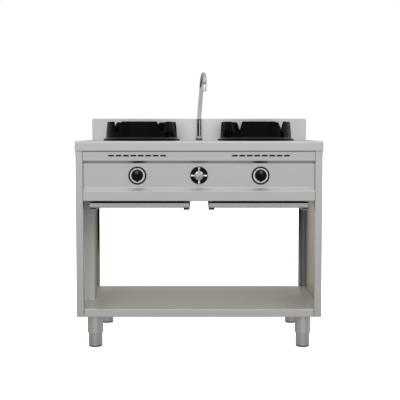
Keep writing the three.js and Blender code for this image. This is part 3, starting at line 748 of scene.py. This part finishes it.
def make_fascia():
    line = rounded(
        [(45, 808.8), (13.5, 808.8), (13.5, 770), (25.5, 761), (25.5, 660.5), (13.5, 646.5), (13.5, 606.8), (30, 606.8)],
        [0, 1.7, 3.5, 5, 9, 4, 2.5, 0],
        8,
    )
    ob = extrude("fascia_sheet", folded(line, SHEET), "X", -469.5, 469.5, "steel_x")
    ob.data.materials.append(MAT["steel_fold"])
    for p in ob.data.polygons:
        if 0.64 < p.center.z < 0.668 and p.normal.z > 0.25 and p.normal.y < -0.2:
            p.material_index = 1
    tools = []
    for cx in (-250, 250):
        for i in range(8):
            x = cx + (i - 3.5) * 30
            slot = rounded(
                [(x - 11.7, 787.9), (x + 11.7, 787.9), (x + 11.7, 794.2), (x - 11.7, 794.2)],
                0.9,
                3,
                True,
            )
            tools.append(extrude("c", slot, "Y", 5, 25))
    for x, z, r in ((-250, 710, 8), (250, 710, 8), (0, 711, 10)):
        tools.append(lathe("c", [(0, 20), (r, 20), (r, 35), (0, 35)], 40, "Y", (x, 0, z)))
    carve(ob, merged("c", tools))
    # a black sheet behind the vent slots: painted shade of the dark interior
    parts = [ob] + [block("slot_shade_sheet", cx - 125, cx + 125, 15.1, 15.5, 784, 798, "void") for cx in (-250, 250)]
    ob = merged("fascia_sheet", parts)
    smooth(ob)
    soften(ob, 0.25, 2)
    return put(ob, "control_fascia", STEEL)


def make_rear():
    line = rounded([(560, 808), (586, 808), (586, 607), (560, 607)], [0, 2.5, 2.5, 0], 5)
    ob = extrude("rear_sheet", folded(line, -SHEET), "X", -467.6, 467.6, "steel_x")
    soften(ob, 0.25, 2)
    put(ob, "rear_panel", STEEL)


def make_shelf():
    line = rounded(
        [(30, 131.5), (13.5, 131.5), (13.5, 163.7), (569.7, 163.7), (569.7, 131.5)],
        [0, 2.5, 3, 3, 0],
        7,
    )
    mid = extrude("shelf_mid", folded(line, -SHEET), "X", -468, 468, "steel_shelf")
    parts = [mid]
    for k in (-1, 1):
        s = rounded([(467 * k, 163.7), (498.2 * k, 163.7), (498.2 * k, 131.5)], [0, 2, 0], 5)
        parts.append(extrude("e", folded(s, -SHEET * k), "Y", 31.5, 569.7, "steel_shelf"))
        a, b = sorted((k * 467, k * 482))
        parts.append(block("e", a, b, 568.2, 569.7, 131.5, 163.2, "steel_x"))
    for p in parts:
        carve(p, block("c", -491, -461, 216, 277, 158, 169))
    # two stiffening channels under the plate
    for x in (-160, 160):
        ch = folded(
            rounded([(x - 32, 162), (x - 20, 162), (x - 20, 140), (x + 20, 140), (x + 20, 162), (x + 32, 162)], 2, 3),
            1.2,
        )
        parts.append(extrude("ch", ch, "Y", 34, 560, "steel_y"))
    # the folded edges keep the plain brushed finish; the plate is a duller sheet, painted lighter near both ends as a
    # painted reflection of the duct
    for p in parts:
        if MAT["steel_x"].name not in [m.name for m in p.data.materials]:
            p.data.materials.append(MAT["steel_x"])
        k = [m.name for m in p.data.materials].index(MAT["steel_x"].name)
        for f in p.data.polygons:
            if f.normal.z < 0.6 and f.center.y < 0.016 - YC / 1000:
                f.material_index = k
    ob = merged("shelf_sheet", parts)
    soften(ob, 0.25, 2)
    put(ob, "lower_shelf", STEEL)


def make_duct():
    line = rounded([(-498.2, 207), (-449, 207), (-449, 284), (-498.2, 284)], [0, 2, 2, 0], 6)
    ob = extrude("duct_cover", folded(line, 1.2), "Z", 164, 630, "steel_duct")
    # its inner side takes the darker post sheet: painted shade of the body
    ob.data.materials.append(MAT["flange_l"])
    for p in ob.data.polygons:
        if p.normal.x > 0.7 and p.center.x > -0.4493:
            p.material_index = 1
    soften(ob, 0.25, 2)
    put(ob, "service_duct", STEEL)


# ------------------------------------------------------------------ wok rings
# notches and windows: centre angle from the front and outline along the wall
RINGS = {
    "left": (
        -250,
        [
            (-44.5, [(-15, 38), (21, 38), (26, 70), (33, 78), (41, 86), (-20.5, 86)]),
            (39.5, [(-9.2, 38), (13.1, 38), (31, 86), (-28.7, 86)]),
            (78, [(-8, 38), (22.3, 38), (32.5, 86), (-13, 86)]),
            (158, [(-6, 45), (15.7, 45), (25.5, 86), (-25, 86), (-17.2, 71.8)]),
            (-121, [(-8, 64), (8, 64), (26, 86), (-26, 86)]),
        ],
        [
            (47.8, [(-10.7, 14), (10.7, 14), (10.7, 33.5), (6, 36), (-6, 36), (-10.7, 33.5)]),
            (59.6, [(-2.5, 14), (17, 14), (4, 36), (-5, 45), (-9, 45)]),
        ],
    ),
    "right": (
        246.4,
        [
            (38.2, [(-1.5, 44), (22, 44), (38, 86), (-34, 86), (-28, 81.5), (-10, 77), (-7, 72)]),
            (-38.2, [(-13.1, 41), (22, 41), (33, 86), (-31, 86)]),
            (-78, [(-22.3, 38), (8, 38), (13, 86), (-32.5, 86)]),
            (-155, [(-12, 50), (10.5, 50), (21.5, 86), (-33, 86)]),
            (122.6, [(-8, 38), (8, 38), (31, 86), (-21, 86)]),
        ],
        [
            (-48.2, [(-15, 13), (0, 13), (13, 36), (10, 37.5), (-16, 37.5)]),
            (-60.6, [(-9, 14), (9, 14), (9, 40), (6, 46), (-3, 46), (-9, 40)]),
            (43.1, [(-9.1, 13), (9.1, 13), (9.1, 37), (5, 40), (-5, 40), (-9.1, 37)]),
        ],
    ),
}


def wok_ring(side):
    z = 850.0
    cx, notches, windows = RINGS[side]
    prof = [
        (156, 3), (156, 0.3), (164.8, 0.3), (166, 1.3), (166, 5.2), (165.2, 6.6), (163.4, 7.6),
        (160, 8.3), (157.6, 9.4), (155.9, 11.2), (154.9, 13.6), (154.2, 17), (153.7, 25), (153, 38), (151, 58),
        (148.9, 77.6), (148.3, 79.9), (146.9, 81), (140.2, 81), (138.2, 80.3), (137.0, 78.5),
        (136.5, 70), (136, 40), (137.7, 20), (139, 3),
    ]
    ring = lathe("ring", prof, 144, "Z", (0, 0, z), "iron")
    tools = [(rounded(o, [3.0 if h < 60 else 2.0 if h < 80 else 0 for _, h in o], 5, True), a) for a, o in notches]
    tools += [(rounded(o, 1.6, 4, True), a) for a, o in windows]
    cutters = []
    for shape, a in tools:
        c = extrude("c", [(x, z + h) for x, h in shape], "Y", -185, -110)
        # the outline is written about the ring's own axis
        c.data.transform(Matrix.Translation((0, YC / 1000, 0)))
        c.data.transform(Matrix.Rotation(math.radians(a), 4, "Z"))
        c.data.transform(Matrix.Translation((0, -YC / 1000, 0)))
        cutters.append(c)
    carve(ring, merged("c", cutters), angle=40)
    ring.data.transform(Matrix.Translation((cx / 1000, 300 / 1000, 0)))
    ring.name = f"{side}_cast_ring"
    # the fillet above the flange gets a lighter, glossier iron: a painted highlight line
    ring.data.materials.append(MAT["iron_painted_sheen"])
    for p in ring.data.polygons:
        r = math.hypot(p.center.x - cx / 1000, p.center.y - (300 - YC) / 1000)
        if r > 0.1545 and 0.8577 < p.center.z < 0.8625 and p.normal.z > 0.2:
            p.material_index = 1
    soften(ring, 0.9, 3, 40)
    put(ring, f"{side}_wok_ring", "cast_iron")


def bowl(side, cx):
    prof = rounded(
        [(151, 850.4), (151, 851.9), (137.4, 851.9), (97.2, 776), (99.0, 775), (138.2, 850.4)],
        [0.5, 0.5, 3, 0.6, 0.6, 1.5],
        4,
        True,
    )
    ob = lathe(f"{side}_bowl_shell", prof, 120, "Z", (cx, 300, 0), "steel_in")
    put(ob, f"{side}_burner_bowl", "inner_stainless")


def burner_cap(side, cx):
    prof = rounded(
        [(0, 802.3), (68, 802.3), (68, 812), (60, 819), (34, 820.6), (30, 817.5), (12, 817.5), (9, 821), (0, 822)],
        [0, 0.6, 3, 4, 2, 2, 2, 2, 0],
        4,
    )
    ob = lathe(f"{side}_cap", prof, 96, "Z", (cx, 300, 0), "brass")
    cutters = []
    for i in range(36):
        t = i * math.pi / 18
        c = block("c", 56, 76, 300 - 1.6, 300 + 1.6, 800, 806.5)
        c.data.transform(Matrix.Translation((0, (YC - 300) / 1000, 0)))
        c.data.transform(Matrix.Rotation(t, 4, "Z"))
        c.data.transform(Matrix.Translation((cx / 1000, (300 - YC) / 1000, 0)))
        cutters.append(c)
    carve(ob, merged("c", cutters))
    soften(ob, 0.3, 2)
    put(ob, f"{side}_burner_cap", "brass")


# ------------------------------------------------------------------ controls
def drop_outline(r, nose, up, n=48):
    half = math.asin(r / (up + nose))
    pts = []
    for k in range(n + 1):
        t = -half + (math.pi + 2 * half) * k / n
        pts.append((r * math.cos(t), up + r * math.sin(t)))
    tip = rounded(
        [pts[-1], (0, -nose), pts[0]], [0, 3.0, 0], 8
    )
    return pts + tip[1:-1]


def knob(side, cx):
    # levels from the back edge of the skirt to the crowned front
    levels = [
        (19.5, 23.2, 25.4), (19.0, 24.0, 26.0), (17.5, 24.1, 26.1), (12, 24.0, 26.0), (6, 23.7, 25.7),
        (0, 23.0, 24.9), (-4, 22.0, 23.6), (-6.2, 19.8, 21.2), (-7.4, 17.4, 18.4), (-7.9, 13.5, 14.2),
        (-8, 8.5, 8.9),
    ]
    rings, verts = [], []
    for y, r, nose in levels:
        ring = []
        for x, z in drop_outline(r, nose, 1.5 if r > 12 else 1.2):
            verts.append((cx + x, y, 710 + z))
            ring.append(len(verts) - 1)
        rings.append(ring)
    n = len(rings[0])
    faces = [[a[k], a[(k + 1) % n], b[(k + 1) % n], b[k]] for a, b in zip(rings, rings[1:]) for k in range(n)]
    faces += [rings[0][::-1], rings[-1]]
    ob = mesh(f"{side}_knob_body", verts, faces, "black", 40)
    carve(ob, lathe("c", [(0, 3), (4.4, 3), (4.4, 25), (0, 25)], 24, "Y", (cx, 0, 710)), angle=40)
    # the top of the crown gets a lighter, glossier black: a painted highlight
    ob.data.materials.append(MAT["black_sheen"])
    for p in ob.data.polygons:
        x, y, h = p.center.x * 1000 - cx, p.center.y * 1000 + YC, p.center.z * 1000 - 710
        if abs(x) < 5.5 and 9 < h < 22 and y < 0 and p.normal.y < -0.3:
            p.material_index = 1
    put(ob, f"{side}_knob", "black_plastic")

    # dial: black rim, bright face, printed ticks
    rim = rounded(
        [(29.9, 25.2), (37, 25.2), (36.4, 20.4), (35, 19.3), (32.2, 19.2), (30.4, 20.6), (30.2, 25.2)],
        [0, 0.3, 1.2, 0.8, 0.8, 0.6, 0],
        4,
        True,
    )
    a = lathe("rim", rim, 96, "Y", (cx, 0, 710), "black_matt")
    face = lathe(
        "face",
        [(7, 25.15), (30.3, 25.15), (30.3, 24.0), (28.5, 23.9), (7, 23.9)],
        96,
        "Y",
        (cx, 0, 710),
        "face",
    )
    parts = [a, face]
    # clock angles in degrees from 12, anticlockwise positive; width, inner and outer radius
    for deg, w, r0, r1 in ((0, 0.8, 25, 30.2), (45, 2.0, 23, 30.3), (90, 0.5, 26.8, 30), (135, 0.6, 26.4, 30), (180, 0.9, 26, 30.2), (225, 0.6, 26.4, 30)):
        t = math.radians(deg)
        d = Vector((-math.sin(t), math.cos(t)))
        s = Vector((d.y, -d.x))
        quad = [d * r0 + s * w / 2, d * r1 + s * w / 2, d * r1 - s * w / 2, d * r0 - s * w / 2]
        parts.append(
            extrude("tick", [(cx + q.x, 710 + q.y) for q in quad], "Y", 23.75, 23.95, "mark")
        )
    put(merged(f"{side}_dial", parts), f"{side}_knob_dial", "black_plastic")


def water_control():
    z = 711
    plate = lathe(
        "plate",
        rounded(
            [(9, 25.2), (35.4, 25.2), (35.4, 21.6), (34.6, 21.0), (9, 20.6)],
            [0, 0, 0.6, 0.6, 0],
            4,
            True,
        ),
        96,
        "Y",
        (0, 0, z),
        "black",
    )
    rim = lathe(
        "rim",
        rounded([(35.3, 25.2), (36.75, 25.2), (36.75, 21.8), (36.1, 20.9), (35.3, 21.4)], [0, 0.2, 0.5, 0.4, 0], 3, True),
        96,
        "Y",
        (0, 0, z),
        "steel_leg",
    )
    put(merged("water_plate", [plate, rim]), "water_handle_plate", "black_plastic")

    hub = lathe(
        "hub",
        [(0, 19), (12, 19), (14, 18.2), (17.6, 12), (19.2, 7), (19.5, 3.6), (19.0, 0.8), (17.5, -1.6), (15.2, -3.2), (12, -4.3), (8.6, -4.9), (8.0, -4.7), (7.6, -5.2), (4, -5.8), (0, -6)],
        64,
        "Y",
        (0, 0, z),
        "chrome_hub",
        40,
    )
    parts = [hub]
    prof = [(0, 8), (3.9, 8), (3.7, 17), (3.4, 22), (3.6, 24.5), (4.4, 27.5), (4.75, 29.5), (4.6, 31.2), (3.9, 32.5), (2.4, 33.1), (0, 33.2)]
    for dx, dz in ((1, 0), (-1, 0), (0, 1), (0, -1)):
        if dx:
            arm = lathe("arm", [(r, a * dx) for r, a in prof], 32, "X", (0, 3, z), "chrome", 40)
        else:
            arm = lathe("arm", [(r, a * dz) for r, a in prof], 32, "Z", (0, 3, z), "chrome", 40)
        parts.append(arm)
    # a small black plug in the hub's shoulder, painted shade of the gap beside the arm, and the slot of the cap
    parts.append(lathe("screw", [(0, -1.0), (1.9, -1.0), (1.9, -4.3), (1.4, -4.6), (0, -4.6)], 20, "Y", (0.4, 0, z + 14.6), "mark"))
    parts.append(block("slot", -2.8, 2.8, -6.05, -5.0, z - 7.0, z - 5.9, "mark"))
    ob = merged("cross_handle", parts)
    put(ob, "water_handle", "chrome")


# ------------------------------------------------------------------ tap
def tap():
    z = 945.0
    col = lathe(
        "column",
        [(0, 800), (9.5, 800), (9.5, 850.3), (15.8, 850.3), (15.8, 855.5), (15.4, 857.2), (14.6, 858.6), (13.2, 861), (12.0, 864.2), (11.2, 867.4), (10.6, 868.6), (9.85, 869.2), (9.85, 941.5), (10.4, 942), (10.4, 944.6), (10, 945), (6.6, 945), (6.5, 925), (0, 925)],
        48,
        "Z",
        (0, 530, 0),
        "tap_post",
        40,
    )
    # a bright painted highlight streak down the front, and a lighter painted shoulder on the base
    col.data.materials.append(MAT["tap_tube"])
    col.data.materials.append(MAT["tap_base"])
    for p in col.data.polygons:
        h = p.center.z * 1000
        streak = 869 < h < 941 and 0.12 < p.normal.x < 0.33 and p.normal.y < 0 and abs(p.normal.z) < 0.2
        if streak:
            p.material_index = 1
        elif 858 < h < 868:
            p.material_index = 2
    col.name = "tap_post"
    put(col, "tap_column", "chrome")
    a = math.radians(8)

    def at(s, h):
        return Vector((s * math.sin(a), 530 - s * math.cos(a), h))

    ctrl = [at(*p) for p in ((0, z + 5), (3, z + 14), (12, 976), (40, 1022), (69, 1070), (93, 1109), (112, 1130), (134, 1141.2), (155, 1133), (168.3, 1116), (171.8, 1104), (172, 1096.2))]
    pts = catmull(ctrl, 10)
    tube = sweep("tube", pts, [10.5 - 0.6 * min(1, k / 45) for k in range(len(pts))], 36, "tap_tube", angle=40)
    # the top of the bend takes a darker, glossier chrome
    tube.data.materials.append(MAT["tap_bend"])
    for p in tube.data.polygons:
        if p.center.z > 1.088:
            p.material_index = 1
    # the collar is near-black: a painted shadow line at the joint
    collar = lathe(
        "collar",
        [(0, z - 18), (6, z - 18), (6, z + 0.3), (9.7, z + 0.3), (9.9, z + 0.7), (9.4, z + 1.4), (9.4, z + 5.2), (10.2, z + 5.9), (10.3, z + 7.2), (9.8, z + 8), (0, z + 8)],
        48,
        "Z",
        (0, 530, 0),
        "chrome_dark",
        40,
    )
    put(merged("spout_tube", [tube, collar]), "tap_spout", "chrome")
    n = at(172, 0)
    noz = lathe(
        "nozzle_body",
        [(0, 1095.6), (9.0, 1095.6), (9.6, 1094.6), (10.5, 1092.4), (10.6, 1091.4), (10.6, 1074.4), (10.2, 1074), (10.2, 1073.2), (10.6, 1072.8), (10.6, 1067), (10.2, 1066), (8.4, 1066), (8, 1066.6), (8, 1071), (0, 1071)],
        48,
        "Z",
        (n.x, n.y, 0),
        "chrome",
        40,
    )
    put(noz, "tap_nozzle", "chrome")


def catmull(P, per):
    """Points on a centripetal curve through P."""
    Q = [P[0] * 2 - P[1]] + list(P) + [P[-1] * 2 - P[-2]]
    out = []
    for i in range(1, len(Q) - 2):
        p0, p1, p2, p3 = Q[i - 1 : i + 3]
        d0, d1, d2 = ((b - a).length ** 0.5 for a, b in ((p0, p1), (p1, p2), (p2, p3)))
        t1 = ((p1 - p0) / d0 - (p2 - p0) / (d0 + d1) + (p2 - p1) / d1) * d1
        t2 = ((p2 - p1) / d1 - (p3 - p1) / (d1 + d2) + (p3 - p2) / d2) * d1
        for k in range(per):
            t = k / per
            out.append(
                p1
                + t1 * t
                + (p1 * -3 + p2 * 3 - t1 * 2 - t2) * t * t
                + (p1 * 2 - p2 * 2 + t1 + t2) * t**3
            )
    out.append(P[-1])
    return [tuple(p) for p in out]


# ------------------------------------------------------------------ trays, legs, pipes
def tray(side, k):
    X0, X1 = 40.2, 443.6
    x0, x1 = sorted((X0 * k, X1 * k))
    y0, y1, z0, z1 = 17, 537, 579, 598.4
    R, t = 3.6, 1.2

    def level(e, z, r):
        pts = rounded([(x0 + e, y0 + e), (x1 - e, y0 + e), (x1 - e, y1 - e), (x0 + e, y1 - e)], r, 4, True)
        return [(x, y, z) for x, y in pts]

    quarter = [math.pi / 2 * i / 7 for i in range(8)]
    # from the middle of the floor, up the inner wall, over the rim and down the outside
    rings = [level(R - (R - t) * math.sin(a), z0 + R - (R - t) * math.cos(a), 0.6) for a in quarter]
    rings += [level(t, z1 - 0.25, 0.6), level(t - 0.2, z1, 0.6), level(0.25, z1, 0.8), level(0, z1 - 0.3, 0.9)]
    rings += [level(R - R * math.cos(a), z0 + R - R * math.sin(a), 0.9) for a in quarter]
    verts = [v for r in rings for v in r]
    n = len(rings[0])
    faces = [
        [i * n + j, i * n + (j + 1) % n, (i + 1) * n + (j + 1) % n, (i + 1) * n + j]
        for i in range(len(rings) - 1)
        for j in range(n)
    ]
    faces += [list(range(n))[::-1], [(len(rings) - 1) * n + j for j in range(n)]]
    ob = mesh(f"{side}_tray_pan", verts, faces, "steel_tray")
    # the inside is painted near black: painted shade of the tray's interior
    ob.data.materials.append(MAT["tray_painted_shade"])
    for i, p in enumerate(ob.data.polygons):
        if i < 9 * n or i == len(faces) - 2:
            p.material_index = 1
    w = ob.modifiers.new("normals", "WEIGHTED_NORMAL")
    w.keep_sharp = True
    put(ob, f"{side}_drip_tray", STEEL)
    for end, x, d, wd in (("inner", X0 * k, k, 23), ("outer", X1 * k, -k, 27)):
        X = lambda a, b: tuple(sorted((x + d * a, x + d * b)))
        a0, a1 = X(0.6, wd)
        b0, b1 = X(1.8, wd - 1.2)
        z = z0 - 0.3
        sec = rounded([(a0, 570.6), (a1, 570.6), (a1, z), (a0, z)], 0.8, 3, True)
        tube = extrude("r", sec, "Y", 17, 583, "steel_in")
        hole = extrude("c", rounded([(b0, 573.4), (b1, 573.4), (b1, z - 0.8), (b0, z - 0.8)], 0.5, 3, True), "Y", 0, 600, "void")
        carve(tube, hole)
        w0, w1 = X(-1.6, -0.4)
        c0, c1 = X(-1.6, 1)
        f0, f1 = X(-1.6, 14)
        parts = [
            tube,
            # a black plate just inside the tube's mouth: painted shade of the hollow
            block("mouth_shade_plate", b0 - 0.3, b1 + 0.3, 17.6, 19, 573.1, z - 0.5, "void"),
            block("s", c0, c1, 17, 583, 570.6, 573, "steel_in"),
            block("w", w0, w1, 17, 583, 571, 606.5, "steel_in"),
            block("f", f0, f1, 17, 583, 605.3, 606.5, "steel_in"),
        ]
        ob = merged(f"{side}_{end}_slide_rail", parts)
        soften(ob, 0.15, 2)
        put(ob, f"{side}_tray_{end}_runner", "inner_stainless")


def leg(row, side, x, y):
    top = 163.7 - 1.5 - 0.3
    tube = lathe(
        "tube",
        [(30.3, 59.4), (30.9, 59), (31.8, 59), (32.3, 59.5), (32.3, 158), (30, 158), (30, 60)],
        64,
        "Z",
        (x, y, 0),
        "steel_leg",
    )
    plate = extrude(
        "plate",
        rounded([(x - 34, y - 34), (x + 34, y - 34), (x + 34, y + 34), (x - 34, y + 34)], 6, 5, True),
        "Z",
        top - 3,
        top,
        "steel_in",
    )
    ob = merged(f"{row}_{side}_leg_tube", [tube, plate])
    soften(ob, 0.2, 2)
    put(ob, f"{row}_{side}_leg", STEEL)
    sleeve = lathe(
        "sleeve",
        [(25.5, 112), (28, 112), (28, 7.4), (27.6, 6.2), (27.2, 5.8), (25.5, 5.8)],
        64,
        "Z",
        (x, y, 0),
        "steel_leg",
    )
    base = lathe(
        "base",
        [(0, 0), (25.6, 0), (26.8, 0.5), (27.5, 1.6), (27.6, 5.0), (27.0, 5.7), (24, 6.0), (0, 6.0)],
        64,
        "Z",
        (x, y, 0),
        "foot",
    )
    put(merged(f"{row}_{side}_foot_sleeve", [sleeve, base]), f"{row}_{side}_foot", STEEL)


def pipes():
    g = sweep(
        "gas_riser",
        bent([(-476, 262, 108), (-476, 262, 668), (-476, 62, 668), (-452, 62, 668)], 20),
        10.6,
        28,
        "zinc",
        bore=8,
    )
    put(g, "gas_inlet_pipe", "zinc_plated_steel")
    w = sweep(
        "water_supply",
        bent([(-476, 229, 108), (-476, 229, 645), (-476, 88, 645), (0, 88, 645), (0, 88, 694.6)], 20),
        7.5,
        24,
        "copper",
        bore=6,
    )
    put(w, "water_inlet_pipe", "copper")
    r = sweep(
        "tap_feed",
        bent([(0, 98.4, 716), (0, 125, 716), (0, 150, 732), (0, 530, 732), (0, 530, 799.6)], 25),
        6,
        20,
        "copper",
    )
    put(r, "water_riser_pipe", "copper")


make_worktop()
make_backsplash()
make_sides()
make_fascia()
make_rear()
make_shelf()
make_duct()
for side, cx in (("left", -250), ("right", 250)):
    wok_ring(side)
    bowl(side, cx)
    burner_cap(side, cx)
    knob(side, cx)
water_control()
tap()
for side, k in (("left", -1), ("right", 1)):
    tray(side, k)
for row, y in (("front", 66.5), ("rear", 531.5)):
    for side, x in (("left", -430), ("right", 430)):
        leg(row, side, x, y)
pipes()

# the pieces inside the body keep their CAD shape, with edges softened and their own finish
KEPT = {
    "front_burner_rail": "steel_in",
    "rear_burner_rail": "steel_in",
    "left_burner": "iron_in",
    "right_burner": "iron_in",
    "left_injector": "brass",
    "right_injector": "brass",
    "left_gas_valve": "brass",
    "right_gas_valve": "brass",
    "left_valve_spindle": "zinc",
    "right_valve_spindle": "zinc",
    "left_gas_feed_pipe": "alu",
    "right_gas_feed_pipe": "alu",
    "left_pilot_burner": "brass",
    "right_pilot_burner": "brass",
    "left_thermocouple": "copper",
    "right_thermocouple": "copper",
    "gas_manifold": "zinc",
    "water_valve": "brass",
    "water_valve_spindle": "brass",
    "tap_lock_nut": "brass",
}
for node, mat in KEPT.items():
    ob = frame["nodes"][node]
    paint(ob, mat)
    smooth(ob, 40)
    soften(ob, 0.3, 2, 40)

# ------------------------------------------------------------------ floor, light
floor = bpy.data.meshes.new("floor")
S = 30.0
floor.from_pydata([(-S, -S, 0), (S, -S, 0), (S, S, 0), (-S, S, 0)], [], [[0, 1, 2, 3]])
floor_ob = bpy.data.objects.new("floor", floor)
bpy.context.scene.collection.objects.link(floor_ob)
fm = bpy.data.materials.new("floor")
fm.use_nodes = True
fb = fm.node_tree.nodes["Principled BSDF"]
fb.inputs["Base Color"].default_value = (0.9, 0.9, 0.9, 1)
fb.inputs["Roughness"].default_value = 0.9
fb.inputs["Specular IOR Level"].default_value = 0.1
fb.inputs["Emission Color"].default_value = (1, 1, 1, 1)
fb.inputs["Emission Strength"].default_value = 0.85
floor.materials.append(fm)
floor_ob.visible_glossy = False
floor_ob.visible_diffuse = False

sc = bpy.context.scene
sc.view_settings.view_transform = "Standard"
sc.view_settings.look = "None"
sc.view_settings.exposure = 0.0
sc.view_settings.gamma = 1.0


def studio():
    """Soft studio light: a pale wall of light in front that falls off towards the floor, a warm
    dim room behind, darker flats either side of the camera and two round soft boxes."""
    world = bpy.data.worlds.new("studio")
    sc.world = world
    world.use_nodes = True
    world.node_tree.nodes.clear()
    n = Net(world.node_tree)
    way = n.node("ShaderNodeTexCoord").outputs["Generated"]
    sep = n.node("ShaderNodeSeparateXYZ")
    n.link(way, sep.inputs[0])
    x, y, z = sep.outputs
    up = n.rng(z, 0.0, 1.0, -1.0, 1.0)
    at = lambda v: (v + 1) / 2
    front = n.ramp(
        up,
        [(at(-1), 0.60), (at(-0.8), 0.42), (at(-0.55), 0.43), (at(-0.3), 0.53), (at(-0.12), 0.77),
         (at(0.06), 0.94), (at(0.3), 1.0), (at(1), 1.04)],
    )
    above = [(at(0.22), (0.41, 0.38, 0.33)), (at(0.5), (0.57, 0.55, 0.52)), (at(0.8), (0.87, 0.86, 0.84)),
             (at(1), (1.0, 1.0, 1.0))]
    rear_left = n.ramp(
        up,
        [(at(-1), (0.72, 0.71, 0.69)), (at(-0.8), (0.46, 0.45, 0.43)), (at(-0.5), (0.27, 0.25, 0.22)), (at(-0.2), (0.36, 0.335, 0.30)),
         (at(-0.08), (0.66, 0.61, 0.53)), (at(0.08), (0.60, 0.56, 0.49))] + above,
    )
    rear_right = n.ramp(
        up,
        [(at(-1), (0.72, 0.71, 0.69)), (at(-0.8), (0.46, 0.45, 0.43)), (at(-0.5), (0.27, 0.25, 0.22)), (at(-0.2), (0.34, 0.315, 0.28)),
         (at(-0.08), (0.40, 0.37, 0.33)), (at(0.08), (0.42, 0.39, 0.34))] + above,
    )
    rear = n.mix(n.rng(x, 0.0, 1.0, -0.04, 0.04, True), rear_left, rear_right)
    room = n.mix(n.rng(y, 0.0, 1.0, 0.25, -0.2, True), rear, front)
    # the right rear of the room is brighter
    right = n.math(
        "MULTIPLY", n.rng(x, 0.0, 1.0, 0.35, 0.8, True), n.rng(y, 0.0, 1.0, -0.25, 0.2, True)
    )
    low = n.rng(z, 0.0, 1.0, -0.45, 0.0, True)
    room = n.mix(n.math("MULTIPLY", right, low), room, (0.95, 0.94, 0.92))
    # darker flats beside the camera, seen in the round chrome and the legs
    flats = n.math(
        "MULTIPLY",
        n.math(
            "MULTIPLY",
            n.rng(n.math("ABSOLUTE", x), 0.0, 1.0, 0.45, 0.62, True),
            n.rng(n.math("ABSOLUTE", x), 1.0, 0.0, 0.86, 0.96, True),
        ),
        n.math("MULTIPLY", n.rng(y, 0.0, 1.0, 0.0, -0.25, True), n.rng(z, 1.0, 0.0, 0.35, 0.65, True)),
    )
    room = n.mix(n.math("MULTIPLY", flats, 0.62), room, (0.16, 0.155, 0.15))
    for vec, strength in (((-0.50, -0.66, 0.56), 2.1), ((0.52, -0.64, 0.57), 1.8)):
        d = n.node("ShaderNodeVectorMath", operation="DOT_PRODUCT")
        n.link(way, d.inputs[0])
        d.inputs[1].default_value = Vector(vec).normalized()
        spot = n.rng(d.outputs["Value"], 0.0, 1.0, 0.955, 0.975, True)
        room = n.mix(spot, room, (strength, strength, strength))
    lit = n.node("ShaderNodeBackground")
    n.link(room, lit.inputs["Color"])
    lit.inputs["Strength"].default_value = 1.0
    plain = n.node("ShaderNodeBackground")
    plain.inputs["Color"].default_value = (1, 1, 1, 1)
    either = n.node("ShaderNodeMixShader")
    n.link(n.node("ShaderNodeLightPath").outputs["Is Camera Ray"], either.inputs[0])
    n.link(lit.outputs[0], either.inputs[1])
    n.link(plain.outputs[0], either.inputs[2])
    out = n.node("ShaderNodeOutputWorld")
    n.link(either.outputs[0], out.inputs[0])


studio()
